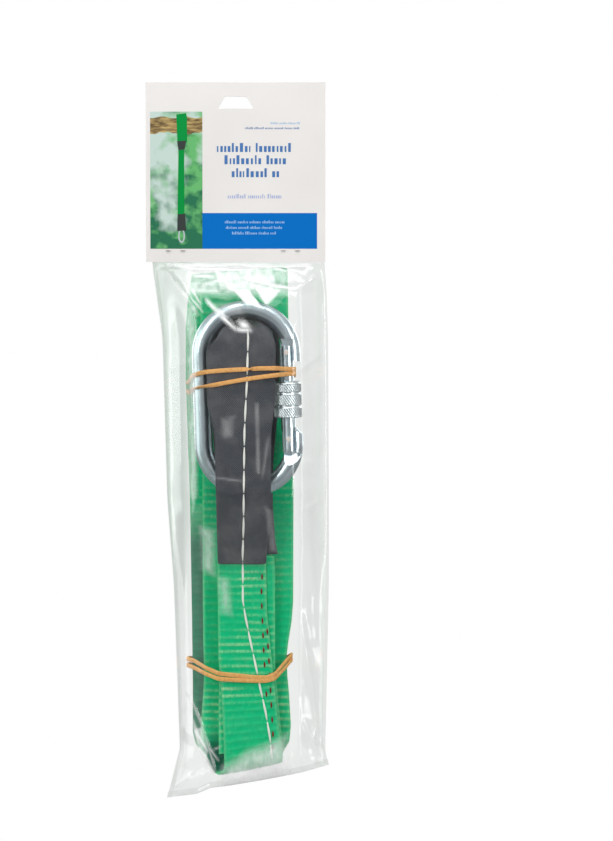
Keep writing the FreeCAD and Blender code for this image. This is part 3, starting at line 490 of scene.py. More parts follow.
def fold(number, z, way, edges, slope=0.0):
    """Keys round the fold from one leg to the next, over the top or under the bottom."""
    return arc_keys(FIRST_LEG + (number + 0.5) * LEG_PITCH, z, LEG_PITCH / 2, 180, way, edges, slope)


def webbing(name, keys, thickness, rib, waver, **more):
    """A strip of the green webbing."""
    strip("webbing_" + name, keys, thickness, WEBBING, rib=rib, waver=waver, slot="green_webbing", **more)


def long_webbing():
    """The standing part below the front eye, then the zigzag of legs, to the back eye's throat."""
    keys = [
        (-6.6, -247, -10.3, 16.9), (-2.7, -257.5, -10.4, 16.8), (-1.75, -263, -10.4, 16.9),
        (-1.75, -285, -10.2, 17.4), (-1.75, -312, -9.9, 20.1), (-1.75, -324, -8.6, 21.3, 0.02),
        (-1.75, -352, -7.2, 24, 0.1), (-1.75, -367, -6.8, 26, 0.19),
    ]
    keys += arc_keys(2.05, -370, 3.8, 180, 360, (-6.8, 26, -14.6, 26), 0.2)
    keys += leg(
        0, (-367, -17.4, 27, 0.14), (-360, -20.6, 29.8, 0.03), (-350, -20.2, 30.7), (-331, -18.8, 29.6),
        (-322, -18.4, 28.7), (-310, -18.6, 28.4), (-303, -18.8, 29.2), (-291, -18.9, 31.1), (-280, -19, 32),
        (-216, -19, 32.2), (-140, -19.6, 29.6), (-100, -20.4, 29, 0.03), (-96.5, -23, 29, 0.06),
    )
    keys += fold(0, -95.2, OVER, (-24, 29, -25.2, 27.5), 0.07)
    keys += leg(
        1, (-96.5, -25.4, 27, 0.06), (-112, -27.4, 24.4), (-126, -28.4, 23.8), (-154, -28.4, 23.8),
        (-223, -26.2, 24), (-290, -25.2, 24), (-328, -24.8, 23.5), (-354, -24.9, 23.5), (-361, -23.2, 23.5),
        (-367, -19.2, 23.5),
    )
    keys += fold(1, -370.8, UNDER, (-14.5, 22.5, -14.5, 23))
    keys += leg(2, (-367, -17.2, 24.5), (-330, -23, 26), (-102, -24, 26))
    keys += fold(2, -101.2, OVER, (-24, 26, -22, 28))
    keys += leg(3, (-102, -22, 28), (-222, -22, 28))
    keys += [(14.3, -238, -13, 19), (14.7, -246, -12, 18), (14.7, -256, -12, 18)]
    webbing("long", keys, PLY, RIB, 0.18, replaces=["webbing_strap"])


def short_webbing():
    """The sewn tails, and the second ply where the webbing is folded lengthwise below the front eye."""
    front = [
        (-2.9, -253.4, -9.6, 21.3), (-0.9, -258, -9.6, 21.6), (-0.05, -264, -9.6, 21.8),
        (-0.05, -318, -9.6, 21.9, 0.02), (-0.05, -335, -9.9, 23.4, 0.06), (-0.05, -363, -9.9, 26, 0.14),
    ]
    rear = [(2.4, -246, -9.5, 19.5), (2.6, -262, -9.5, 20.5), (2.55, -351, -9.4, 22)]
    back = [(16.5, -150.5, -12, 18), (16.5, -236, -12, 18), (18.6, -244, -12, 18), (19.3, -254, -12, 18)]
    webbing("front_tail", front, PLY, RIB * 0.6, 0.1)
    webbing("rear_tail", rear, 2 * PLY, RIB * 0.6, 0.08)
    webbing("back_tail", back, 2 * PLY, RIB, 0.1)


# ---------- sleeves

SLEEVE_THICK = 4.0


def crown_droop(share, along, length):
    """The front eye's crown is pulled down at its two edges, where it lies under the carabiner's bow."""
    return 8.0 * bump(along, 0.525 * length, 13) * np.abs(2 * share - 1) ** 2.4


def front_sleeve():
    """The sleeve round the front eye: up its rear leg, over the crown, down its front leg."""
    keys = [
        (1.9, -252.5, -9.6, 23.4), (2.4, -244, -10.2, 21.8), (2.5, -225, -10.6, 20.6),
        (2.5, -200, -12, 20.8), (2.6, -165, -14.6, 24.2), (2.6, -135, -15.2, 24.6),
        (2.4, -124, -13, 22.6), (1.4, -119.4, -11.6, 20.4), (-0.8, -118.2, -10.8, 20),
        (-3.6, -120.8, -10.2, 20.6), (-7.7, -122.6, -9.8, 20.8), (-12.4, -122.9, -9.8, 21.2),
        (-16.2, -125, -11.6, 22.2), (-17.7, -129, -14.8, 22.6), (-17.9, -135, -16, 22.6),
        (-17.9, -166, -15.6, 22.2), (-17.9, -176, -13.2, 20.8), (-17.9, -184, -11.4, 20),
        (-17.9, -216, -10.8, 19.8), (-13.5, -229, -10.6, 19), (-6.5, -248, -10.4, 17.6),
        (-3.2, -256.8, -10.2, 16.9),
    ]
    strip("sleeve_front_cloth", keys, SLEEVE_THICK, SLEEVE, step=1, across=34, waver=0.22, droop=crown_droop,
          slot="black_sleeve", replaces=["sleeve_front"])


def back_sleeve():
    """The sleeve round the flat back eye."""
    keys = [(14.7, -254, -12.8, 18.8), (14.7, -300, -13, 19), (14.7, -363, -12.6, 18.6)]
    keys += arc_keys(17, -363.8, 2.3, 180, 360, (-12.6, 18.6, -12.6, 18.6), count=12)
    keys += [(19.3, -363, -12.6, 18.6), (19.3, -300, -13, 19), (19.3, -250, -12.8, 18.8)]
    strip("sleeve_back_cloth", keys, SLEEVE_THICK, SLEEVE, step=1, waver=0.15, slot="black_sleeve",
          replaces=["sleeve_back"])


# ---------- stitches

# The sewn lines as (x, z) from top to bottom.
BASTING = [
    (6.9, -125.5), (7.3, -130), (7, -140), (6.6, -155), (6, -165), (5.2, -182), (4.9, -205),
    (4.5, -235), (3.8, -252), (3.8, -278), (5.2, -287), (8, -301), (10.8, -314), (13.6, -328),
    (16.5, -341), (19, -356), (20.4, -371),
]
RED_LINES = [
    [(14.6, -263), (14.2, -275), (14.8, -290), (15.4, -305), (16.2, -318), (17.4, -338)],
    [(17.4, -294), (18, -305), (18.8, -318), (19.6, -335), (20.6, -352), (20.8, -362)],
]
# The front face that the stitches lie on, by height.
FACE_Z = [-372.6, -370, -366, -263, -257.5, -257, -247, -229, -216, -135, -129, -126.5, -124.5]
FACE_Y = [1, -1.2, -2.6, -2.6, -3.6, -5.2, -8.6, -15.5, -20, -20.05, -19.9, -19.2, -17.9]


def stitched(name, line, length, pitch, width, material, slot, replaces=()):
    """Separate stitches along a line, each a flattened bead that dips into the cloth at its two ends."""
    line = np.array(line, float)
    run = distance_along(line)
    points, faces = [], []
    rows, around = 9, 8
    start = 0.0
    while start + 0.4 * length < run[-1]:
        end = min(start + length, run[-1])
        base = len(points)
        for i, share in enumerate(np.linspace(0, 1, rows)):
            at = start + (end - start) * share
            x, z = (float(np.interp(at, run, c)) for c in line.T)
            arch = math.sin(math.pi * min(max(share, 0.04), 0.96)) ** 0.45
            face = float(np.interp(z, FACE_Z, FACE_Y)) - 0.08
            for j in range(around):
                turn = 2 * math.pi * j / around
                sideways = width / 2 * arch * math.cos(turn)
                points.append((x + sideways, face - 0.28 * arch * (1 + math.sin(turn)), z))
        faces += [tuple(base + v for v in f) for f in tube_faces(rows, around)]
        start += pitch
    add_piece(name, points, faces, material, slot=slot, replaces=replaces)


def stitches():
    """White basting down the front eye, and two lines of red stitches at its splice."""
    stitched("basting_thread", BASTING, 12.2, 13.1, 1.25, WHITE_THREAD, "white_thread", ["basting_stitches"])
    for n, line in enumerate(RED_LINES, 1):
        replaced = ["splice_stitches"] if n == 1 else ()
        stitched(f"red_thread_{n}", line, 3.4, 8.3, 1.0, RED_THREAD, "red_thread", replaced)


# ---------- rubber bands


BAND_WIDE = 2.5
BAND_THICK = 0.95
BAND_POINTS = 420
BAND_AROUND = 12


def eased(line, passes):
    """A closed line with each pass averaging a point with its neighbours."""
    for _ in range(passes):
        line = (np.roll(line, 1, axis=0) + 2 * line + np.roll(line, -1, axis=0)) / 4
    return line


def band_line(corners, heights, out):
    """A closed line round the bundle through corners (x, y).

    heights holds some x, and the line's z at each on the front and on the back.
    """
    corners = np.array(corners + corners[:1], float)
    run = distance_along(corners)
    at = np.linspace(0, run[-1], BAND_POINTS, endpoint=False)
    line = eased(np.column_stack([np.interp(at, run, c) for c in corners.T]), 5)
    ahead = np.roll(line, -1, axis=0) - np.roll(line, 1, axis=0)
    ahead /= np.linalg.norm(ahead, axis=1)[:, None]
    normal = np.column_stack([ahead[:, 1], -ahead[:, 0]])
    line = line + normal * out
    xs, front, back = heights
    share = np.clip((line[:, 1] + 8) / 12, 0, 1)
    z = np.interp(line[:, 0], xs, front) * (1 - share) + np.interp(line[:, 0], xs, back) * share
    return np.column_stack([line, eased(z, 6)]), normal


def rubber_turn(name, corners, heights, out, twist, **more):
    """One turn of a band. twist maps x on the front to how far the band is turned on edge, in degrees."""
    line, normal = band_line(corners, heights, out)
    up = np.array([0.0, 0.0, 1.0])
    rings = []
    for i, point in enumerate(line):
        away = np.array([normal[i][0], normal[i][1], 0.0])
        turn = math.radians(twist(point[0]) if point[1] < -6 else 0.0)
        flat = up * math.cos(turn) + away * math.sin(turn)
        edge = away * math.cos(turn) - up * math.sin(turn)
        ring = []
        for j in range(BAND_AROUND):
            c, s = math.cos(2 * math.pi * j / BAND_AROUND), math.sin(2 * math.pi * j / BAND_AROUND)
            across = BAND_WIDE / 2 * abs(c) ** 0.5 * np.sign(c)
            through = BAND_THICK / 2 * abs(s) ** 0.7 * np.sign(s)
            ring.append(point + flat * across + edge * through)
        rings.append(ring)
    tube(name, np.array(rings), RUBBER, closed=True, slot="rubber_band", **more)


# The bundle's outline as (x, y) at the upper and at the lower band.
UPPER_ROUND = [
    (-11.5, -20.1), (21.5, -20.1), (32.4, -11.4), (32.2, -3), (30.4, 7), (28.3, 15), (18.6, 18.5),
    (-12.6, 18.5), (-22.3, 15), (-26.9, 9.6), (-26, 1), (-24.6, -6), (-22, -13.5),
]
LOWER_ROUND = [
    (-10.4, -3.2), (20.4, -3.2), (30.4, 4.8), (30.4, 6.9), (26.5, 12.4), (19.2, 21.6), (-13.2, 21.6),
    (-24.5, 12.4), (-27, 9.6), (-27, 7.3),
]


def rubber_bands():
    """Two bands, each wound twice round the bundle and twisted here and there."""
    xs = [-27, -24, -20, -15.5, -6, 3, 8, 14, 22, 30, 35]
    upper = [-156, -151.6, -150.2, -149.2, -148.4, -147.9, -147.7, -147.3, -147.2, -147.9, -148]
    lower = [-163, -159, -157.9, -157.2, -155.4, -153.8, -153, -152.1, -151.1, -150.5, -150.5]
    back_upper = list(np.interp(xs, [-27, 35], [-156, -149]))
    back_lower = list(np.interp(xs, [-27, 35], [-161, -152.6]))
    rubber_turn("band_upper_a", UPPER_ROUND, (xs, upper, back_upper), 0.95,
                lambda x: 180 / (1 + math.exp((x - 8) / 1.1)), replaces=["rubber_band_upper"])
    rubber_turn("band_upper_b", UPPER_ROUND, (xs, lower, back_lower), 0.95,
                lambda x: 75 / (1 + math.exp((x + 14) / 2)))
    xs = [-27, -24, -17, -9, 0, 10, 17, 22, 28, 31]
    first = [-313.5, -314, -317.3, -319.6, -320.6, -321.6, -321.8, -319.8, -313.6, -311]
    second = [-317, -318, -320.6, -322.6, -323.2, -323.6, -323.6, -322.3, -317, -313.6]
    rubber_turn("band_lower_a", LOWER_ROUND, (xs, first, [z + 1 for z in first]), 0.9,
                lambda x: 40 * bump(x, -12, 6), replaces=["rubber_band_lower"])
    rubber_turn("band_lower_b", LOWER_ROUND, (xs, second, [z + 1 for z in second]), 0.9,
                lambda x: 30 * bump(x, 12, 9))


# ---------- metal


def shade_metal():
    """Materials on the CAD nodes that show as they are."""
    for material, names in (
        (STEEL, ("carabiner_body", "carabiner_gate", "screw_sleeve_bush")),
        (PIN_STEEL, ("hinge_rivet", "latch_pin")),
        (SPRING_STEEL, ("spring_plunger",)),
        (STAPLE_STEEL, ("staple_left", "staple_right")),
        (CARD, ("header_card",)),
    ):
        for name in names:
            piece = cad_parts[name]
            piece.data.materials.clear()
            piece.data.materials.append(material)


# The carabiner's lean, its middle, and the gate's axis from that middle.
LEAN = math.radians(1.7)
OVAL = (6.7, -7.7, -164.9)
GATE_X = 22.3
KNURLS_AROUND = 34
KNURL_RISE = 2.1
KNURL_DEEP = 0.5


def from_carabiner(points):
    """Points in the carabiner's own frame, taken to the pack's frame."""
    points = np.array(points, float)
    x, y, z = points.T
    cos, sin = math.cos(LEAN), math.sin(LEAN)
    return np.column_stack([OVAL[0] + x * cos - z * sin, OVAL[1] + y, OVAL[2] + x * sin + z * cos])


def knurled_grip():
    """The screw sleeve: three bands of slanting knurl between grooves, with plain chamfered ends.

    The profile is (radius, z, whether it is knurled).
    """
    outer, groove, mouth, bore = 7.8, 7.1, 6.45, 4.2
    low, top = -10.8, 9.3
    profile = [(mouth, low + 6.4, 0), (mouth, low, 0), (7.35, low, 0), (outer - 0.1, low + 0.5, 0)]
    bands = [(low + 0.9, low + 5.3), (low + 7.4, low + 12.7), (low + 14.8, top - 1.5)]
    for n, (start, end) in enumerate(bands):
        for z in np.arange(start, end, 0.22):
            profile.append((outer, z, 1))
        profile.append((outer, end, 0))
        if n < 2:
            following = bands[n + 1][0]
            profile += [(outer - 0.25, end + 0.35, 0), (groove, end + 0.45, 0)]
            profile += [(groove, following - 0.45, 0), (outer - 0.25, following - 0.35, 0)]
    profile += [(outer - 0.5, top - 0.7, 0), (outer - 1.2, top, 0), (bore, top, 0), (bore, top - 0.6, 0)]
    around = 400
    turn = np.arange(around) * 2 * np.pi / around
    rings = []
    for radius, z, knurl in profile:
        ridge = np.abs(((turn * KNURLS_AROUND / (2 * np.pi) + z / KNURL_RISE) % 1.0) * 2 - 1)
        r = radius - knurl * KNURL_DEEP * ridge
        local = np.column_stack([GATE_X + r * np.cos(turn), r * np.sin(turn), np.full(around, z)])
        rings.append(from_carabiner(local))
    tube("grip_knurled", np.array(rings), KNURLED_STEEL, capped=False, body="screw_grip", slot="zinc_steel",
         replaces=["screw_sleeve_grip"])


def gate_coil():
    """The spring in the gate, one coil at one length with a mesh of its own. In the real gate it shortens as
    the gate opens and the plunger moves in.
    """
    radius, wire, turns, low, tall = 1.55, 0.28, 6.5, -1.37, 14.3
    up = np.array([0.0, 0.0, 1.0])
    angles = np.arange(8) * math.pi / 4
    rings = []
    for share in np.linspace(0, 1, 220):
        turn = 2 * math.pi * turns * share
        out = np.array([math.cos(turn), math.sin(turn), 0.0])
        centre = np.array([GATE_X, 0.0, low + tall * share]) + out * radius
        rings.append(from_carabiner([centre + wire * (out * math.cos(a) + up * math.sin(a)) for a in angles]))
    coil = tube("gate_spring_coil", np.array(rings), SPRING_STEEL, body="gate", slot="spring_steel",
                replaces=["gate_spring"])
    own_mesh(coil)


# ---------- card print

CARD_FACE = -0.75


def flat_shape(name, outline, material, lift=0.03):
    """A flat printed shape on the card's front, from its (x, z) outline."""
    points = [(x, CARD_FACE - lift, z) for x, z in outline]
    add_piece(name, points, [tuple(range(len(outline)))], material, slot="printed_card", smooth=False)


def bar(left, right, low, high):
    """A rectangle's outline."""
    return [(left, low), (right, low), (right, high), (left, high)]


def lettering(name, left, right, middle, tall, material, seed):
    """Rows of plain strokes that stand for a line of type; they spell nothing."""
    rng = np.random.default_rng(seed)
    points, faces = [], []
    x, stroke = left, 0
    while x < right - 0.2 * tall:
        wide = tall * rng.uniform(0.12, 0.3)
        low, high = middle - tall * 0.33, middle + tall * rng.choice([0.22, 0.22, 0.22, 0.5])
        base = len(points)
        points += [(px, CARD_FACE - 0.05, pz) for px, pz in bar(x, min(x + wide, right), low, high)]
        faces.append((base, base + 1, base + 2, base + 3))
        stroke += 1
        x += wide + tall * (0.5 if stroke % 9 == 0 else rng.uniform(0.12, 0.2))
    add_piece(name, points, faces, material, slot="printed_card", smooth=False)


# The lines of type: name, left, right, height on the card, size and ink.
TYPE_LINES = [
    ("line_1", 19.5, 36, -11.5, 1.3, INK_PALE),
    ("line_2", 5.2, 35.6, -14.2, 1.5, INK_TITLE),
    ("title_1", -10.4, 33, -25.4, 6, INK_TITLE),
    ("title_2", -6.2, 28.6, -32.2, 6, INK_TITLE),
    ("title_3", -2.2, 24.2, -39.4, 6, INK_TITLE),
    ("subtitle", -4.4, 26.4, -52.2, 3, INK_LILAC),
    ("note_1", -6, 27.4, -66.4, 1.9, INK_PALE),
    ("note_2", -5.4, 26.4, -69.5, 1.9, INK_PALE),
    ("note_3", -2, 23, -72.6, 1.9, INK_PALE),
]


def printed_card():
    """The print: a picture of a strap on a branch, a blue panel, and strokes in place of the wording."""
    flat_shape("print_picture", bar(-47.6, -18.5, -81.2, -5.0), FOLIAGE)
    across = np.linspace(-47.6, -18.5, 24)
    top = [(x, -8.2 - 0.5 * math.sin(x * 0.5)) for x in across[::-1]]
    low = [(x, -17.0 + 0.7 * math.sin(x * 0.31 + 1.0) + 0.3 * math.sin(x * 1.3)) for x in across]
    flat_shape("print_branch", top + low, BARK, 0.06)
    loop = [(-33, -6.6), (-27.6, -5.8), (-27, -8), (-27, -22), (-32.4, -22.4)]
    hanging = [(-31.8, -25), (-28.6, -24.6), (-28.6, -63), (-32.4, -63.4)]
    eye = [(-32.6, -21.4), (-27.4, -21), (-28.4, -26), (-31.8, -26.4)]
    end = [(-32.4, -62), (-28.2, -61.6), (-27.6, -71), (-32.6, -71.4)]
    flat_shape("print_strap_loop", loop, INK_GREEN, 0.09)
    flat_shape("print_strap_hanging", hanging, INK_GREEN, 0.09)
    flat_shape("print_strap_eye", eye, INK_BLACK, 0.1)
    flat_shape("print_strap_end", end, INK_BLACK, 0.1)
    ring = [(math.cos(a), math.sin(a)) for a in np.linspace(0, 2 * math.pi, 24, endpoint=False)]
    flat_shape("print_clip", [(-30.2 + 1.9 * c, -74 + 4 * s) for c, s in ring], INK_GREY, 0.09)
    flat_shape("print_clip_inside", [(-30.2 + 1.1 * c, -74 + 3 * s) for c, s in ring], FOLIAGE, 0.12)
    flat_shape("print_panel", bar(-18.5, 45.4, -81.2, -61.3), INK_BLUE)
    for seed, (name, left, right, middle, tall, ink) in enumerate(TYPE_LINES, 1):
        lettering("print_" + name, left, right, middle, tall, ink, seed)


# ---------- bag

# The bag by height: z, left seam, right seam, then each film's depth and the x between which it is full.
BAG = np.array([
    (-60, -46.5, 49, 0.25, -40, 42, 0.25, -40, 42),
    (-88.6, -46.5, 49.5, 0.25, -40, 42, 0.25, -40, 42),
    (-95, -46, 50, 2.2, -30, 36, 13, -30, 34),
    (-101, -45, 50.5, 8.5, -28, 34, 20.8, -29.5, 33.5),
    (-116, -43, 51, 17.3, -21, 32, 21.9, -29.5, 33.5),
    (-130, -41, 51.5, 22.6, -20, 30, 21.9, -29.5, 33.5),
    (-222, -38.5, 52, 22.6, -20, 30, 21.9, -29.5, 33.5),
    (-268, -35, 52, 6.2, -24, 32.5, 23.8, -29.5, 33.5),
    (-362, -31.8, 50, 6.2, -22, 32.5, 23.8, -28, 33.5),
])
BAG_BOTTOM = [(-39, -390), (-22.4, -388), (-14.6, -384.6), (-4.5, -383.4), (13.4, -380.4), (24, -378.4),
              (37.5, -375.6), (52, -371.5)]

# Creases as (x, z) of each end, height, width, and how white the film is along them: partly hazy film, partly
# painted glints.
FRONT_CREASES = [
    (-16.2, -109.4, -9, -117, 1, 0.8, 0.9), (-9, -117, 0.6, -126.2, 1.4, 0.9, 0.9),
    (-13, -112, -4, -120, 0.5, 0.5, 0.5), (0.6, -126, 8.6, -126.4, 0.8, 1.1, 0.9),
    (3, -122.6, 7, -124.6, 0.8, 1.6, 0.9), (4.5, -97.4, 22.2, -101.8, 0.9, 0.7, 0.5),
    (22.2, -101.8, 32.5, -103.4, 0.9, 0.8, 0.7), (32.5, -103.4, 39.8, -100.2, 0.9, 0.9, 0.7),
    (39.8, -100.2, 44.6, -96, 0.9, 1, 0.5), (-37.7, -95.2, -20.2, -117.6, 0.9, 0.8, 0.4),
    (-31, -97, -22, -112, 0.6, 0.7, 0.3), (-34.2, -89.9, -21.8, -92.4, 0.7, 0.8, 0.6),
    (-21.8, -92.4, 12, -91, 0.6, 0.8, 0.3), (-16, -100, -4, -98, 0.5, 1, 0.4),
    (-11, -93, -2, -104, 0.5, 0.5, 0.85), (6, -96.5, 20, -100, 0.4, 0.5, 0.9),
    (-24, -96, -12, -97, 0.4, 0.5, 0.8), (-26, -107, -18, -116, 0.5, 0.6, 0.6),
    (-24, -104, -19, -112, 0.4, 0.4, 0.7), (20, -92, 29, -93.5, 0.4, 0.5, 0.6),
    (8, -104, 15, -111, 0.7, 0.7, 0), (31, -92, 45, -99, 0.9, 1.6, 0.2),
    (36, -110, 42, -170, 0.8, 2.2, 0.05), (-33, -125, -31, -210, 0.8, 1.8, 0.05),
    (40, -200, 44, -300, 0.9, 2.4, 0.05), (-28, -240, -27, -330, 0.7, 1.6, 0.05),
    (36, -285, 46, -352, 0.9, 1.8, 0.1), (-26.4, -330, -17.6, -352, 0.9, 0.7, 0.4),
    (-17.6, -352, -11.6, -374, 0.9, 0.6, 0.5), (-24, -345, -21, -358, 0.8, 0.9, 0.5),
    (-20.4, -361, -12.6, -374.4, 0.9, 0.9, 0.9), (-16.6, -358, -10, -368, 0.6, 0.5, 0.6),
    (-22.6, -352, -16, -362, 0.6, 0.5, 0.7), (-13, -362, -9, -360, 0.4, 0.5, 0.4),
    (34.6, -330, 36.6, -374, 0.8, 1, 0.1), (38, -345, 48, -368, 0.9, 1.2, 0.2),
    (-37, -386, -20, -372, 0.9, 1.2, 0.1), (44.6, -349, 43.6, -358, 0.6, 0.7, 0.6),
    (-24, -262, -4, -258, 0.3, 1.4, 0), (34, -150, 47, -140, 0.6, 1.6, 0.1),
    (-12, -207.5, 6, -210, 0.3, 0.6, 0.16), (18.5, -186, 15, -208, 0.3, 0.6, 0.14),
    (33, -230, 47, -222, 0.6, 1.8, 0.05), (-38, -150, -26, -143, 0.6, 1.3, 0.1),
]

# The back film's creases, with the same whiteness: partly hazy film, partly painted glints.
BACK_CREASES = FRONT_CREASES[9:21]

# Whiter areas of the front film: hazy film where it clings or is stretched, and painted glare in the bright
# patches at the top of the bag. Each has corners as (x, z), how white it is, and a border width.
FRONT_MILK_AND_GLARE = [
    ([(-14, -392), (-9, -367), (5.4, -361), (16.6, -354), (30, -350), (34, -392)], 0.56, 7),
    ([(-29, -112), (-20.5, -112), (-20, -218), (-23.5, -223.5), (-27.4, -218)], 0.34, 2.5),
    ([(-29, -89), (31, -89), (31, -108), (-29, -108)], 0.34, 4),
    ([(-13, -93), (21, -91), (25, -105), (-9, -105)], 0.66, 1.8),
    ([(-3, -103), (7.5, -103), (14.5, -112.4), (6, -112.4)], 0.9, 1),
    ([(9.5, -102), (27, -103), (18.5, -112.4), (16.5, -112.4)], 0.9, 1),
    ([(-27, -98.5), (-10, -98.5), (-8, -106.5), (-27, -106.5)], 0.58, 2),
    ([(-14, -110), (4, -110), (6, -118), (-6, -119)], 0.2, 3),
    ([(-11.8, -262), (-2.6, -264), (-0.6, -288), (-9.6, -286)], 0.3, 4),
    ([(-22, -232), (-10, -236), (-10, -266), (-20.5, -262)], 0.42, 5),
    ([(-24.5, -350), (-18.5, -348), (-15, -363), (-17, -369.5), (-22, -362)], 0.5, 1.6),
    ([(-27.6, -222), (-17, -222), (-17, -352), (-26, -352)], 0.07, 2),
    ([(10.5, -166), (13.5, -166), (14.5, -206), (11.5, -206)], 0.16, 1.2),
    ([(-9, -174), (1, -172), (0, -186), (-8, -187)], 0.16, 3.5),
    ([(15.5, -222), (21.5, -226), (23.5, -250), (18.5, -250)], 0.14, 2),
]


def bag_section(z):
    """The bag's section at a height, eased where one slope of the table turns into the next."""
    heights = BAG[::-1, 0]
    reach = np.linspace(-7.0, 7.0, 9) if z < -92 else np.zeros(1)
    return [float(np.mean(np.interp(z + reach, heights, BAG[::-1, c]))) for c in range(1, 9)]


def near_line(x, z, x0, z0, x1, z1):
    """How far along a line each point lies, 0 to 1, and how far off it."""
    dx, dz = x1 - x0, z1 - z0
    share = np.clip(((x - x0) * dx + (z - z0) * dz) / (dx * dx + dz * dz), 0, 1)
    return share, np.hypot(x - x0 - share * dx, z - z0 - share * dz)


def crease_relief(x, z, creases):
    """How far the film stands up along its creases, and how white it is there: partly hazy film, partly
    painted glints.
    """
    relief, milk_and_glare = np.zeros_like(x), np.zeros_like(x)
    for x0, z0, x1, z1, height, width, whiteness in creases:
        share, away = near_line(x, z, x0, z0, x1, z1)
        shape = bump(away, 0.0, width) * np.sin(np.pi * np.clip(share, 0.06, 0.94)) ** 0.4
        relief += height * shape
        milk_and_glare = np.maximum(milk_and_glare, whiteness * shape)
    return relief, milk_and_glare


def inside(x, z, corners, soft):
    """1 well inside a convex outline, 0 outside it, with a soft border."""
    middle = np.mean(corners, axis=0)
    depth = np.full_like(x, 1e9)
    for (ax, az), (bx, bz) in zip(corners, corners[1:] + corners[:1]):
        normal = np.array([bz - az, ax - bx], float)
        normal /= np.linalg.norm(normal)
        if (middle - (ax, az)) @ normal < 0:
            normal = -normal
        depth = np.minimum(depth, (x - ax) * normal[0] + (z - az) * normal[1])
    return np.clip(depth / soft, 0, 1)


def crumple(x, z):
    """Shallow flat facets with sharp ridges between them, strongest at the two ends and sides of the bag."""
    height = np.zeros_like(x)
    for turn, pitch, shift in ((0.35, 19, 0.1), (1.25, 15, 0.4), (2.2, 25, 0.7), (2.8, 12, 0.2)):
        across = x * math.cos(turn) + z * math.sin(turn) + 2.5 * np.sin(z * 0.05 + x * 0.07 + shift)
        phase = across / pitch + shift
        height += np.abs(phase - np.round(phase)) * pitch * 0.055
    ends = above(z, -118.0, 12.0) + above(z, -342.0, -12.0)
    sides = above(x, 32.0, 6.0) + above(x, -24.0, -6.0)
    return height * (0.25 + 0.9 * np.clip(ends + 0.15 * sides, 0, 1))


# The mesh of one film, and the share of its rows above the bottom seal.
FILM_TALL, FILM_WIDE = 330, 110
BODY_SHARE = 0.93


def film_sheet(name, side, creases, whiteness, material, replaces):
    """One film of the bag, from inside the card's fold to the bottom seal."""
    share_over = np.linspace(0, 1, FILM_WIDE)
    bottom_x, bottom_z = np.array(BAG_BOTTOM).T
    points, crease_milk_and_glare, haze, folded = [], [], [], []
    first, body_end = BAG[0, 0], BAG[-1, 0]
    for down in np.linspace(0, 1, FILM_TALL):
        z_body = first + (body_end - first) * min(down / BODY_SHARE, 1.0)
        left, right, *halves = bag_section(z_body)
        deep, start, end = halves[:3] if side < 0 else halves[3:]
        last = max(0.0, (down - BODY_SHARE) / (1 - BODY_SHARE))
        left = left + (bottom_x[0] - left) * last
        right = right + (bottom_x[-1] - right) * last
        x = left + (right - left) * share_over
        z = z_body + (np.interp(x, bottom_x, bottom_z) - z_body) * last
        rise = np.clip((x - left) / (start - left), 0, 1)
        fall = np.clip((right - x) / (right - end), 0, 1)
        hug = np.minimum(rise, fall)
        hug = hug * hug * (3 - 2 * hug)
        close = math.sqrt(max(0.0, 1 - last**2.2))
        depth = deep * hug * close
        loose = np.clip(depth / 1.5, 0, 1)
        ripple = 0.45 * np.sin(x * 0.17 + z * 0.031 + 1.7 * np.sin(z * 0.023))
        ripple += 0.3 * np.sin(x * 0.33 - z * 0.09 + 2.0 * np.sin(x * 0.05))
        ripple += 0.18 * np.sin(x * 0.8 + z * 0.22)
        # Whiter film along creases and in patches: partly hazy film, partly painted glare and glints.
        relief, milk_and_glare = crease_relief(x, z, creases)
        haze_and_glare = np.zeros_like(x)
        for corners, amount, border in whiteness:
            haze_and_glare = np.maximum(haze_and_glare, amount * inside(x, z, corners, border))
        depth = depth + loose * (0.3 * ripple + relief + crumple(x, z)) + 0.06
        points.append(np.column_stack([x, side * depth, z]))
        crease_milk_and_glare.append(milk_and_glare)
        haze.append(haze_and_glare)
        gusset = above(x, -22.0, -6.0) * above(z, -310.0, 90.0)
        folded.append(gusset if side < 0 else np.zeros_like(x))
    starts = [i * FILM_WIDE + j for i in range(FILM_TALL - 1) for j in range(FILM_WIDE - 1)]
    faces = [(a, a + 1, a + FILM_WIDE + 1, a + FILM_WIDE) for a in starts]
    marks = {"crease_milk_and_glare": np.concatenate(crease_milk_and_glare), "haze": np.concatenate(haze), "folded": np.concatenate(folded)}
    add_piece(name, np.vstack(points), faces, material, slot="poly_film", replaces=replaces, marks=marks)


def seam(name, pairs):
    """A narrow strip through pairs of points, outer and inner."""
    faces = [(2 * i, 2 * i + 1, 2 * i + 3, 2 * i + 2) for i in range(len(pairs) - 1)]
    add_piece(name, [point for pair in pairs for point in pair], faces, SEAM, slot="poly_film")


def bag_seams():
    """The welded margins down the two sides and along the bottom."""
    table = BAG[::-1]
    bottom = np.array(BAG_BOTTOM)
    for name, column, inward, corner in (("left", 1, 1, bottom[0]), ("right", 2, -1, bottom[-1])):
        heights = np.linspace(-88.0, -366.0, 90)
        sides = np.r_[np.interp(heights, table[:, 0], table[:, column]), corner[0]]
        heights = np.r_[heights, corner[1]]
        seam("bag_seam_" + name, [((x - inward * 0.2, 0.0, z), (x + inward * 2.2, -0.12, z))
                                  for x, z in zip(sides, heights)])
    xs = np.linspace(bottom[0, 0], bottom[-1, 0], 60)
    zs = np.interp(xs, bottom[:, 0], bottom[:, 1])
    seam("bag_seam_bottom", [((x, 0.0, z - 0.2), (x, -0.15, z + 3.4)) for x, z in zip(xs, zs)])


# ---------- stage, lights and camera


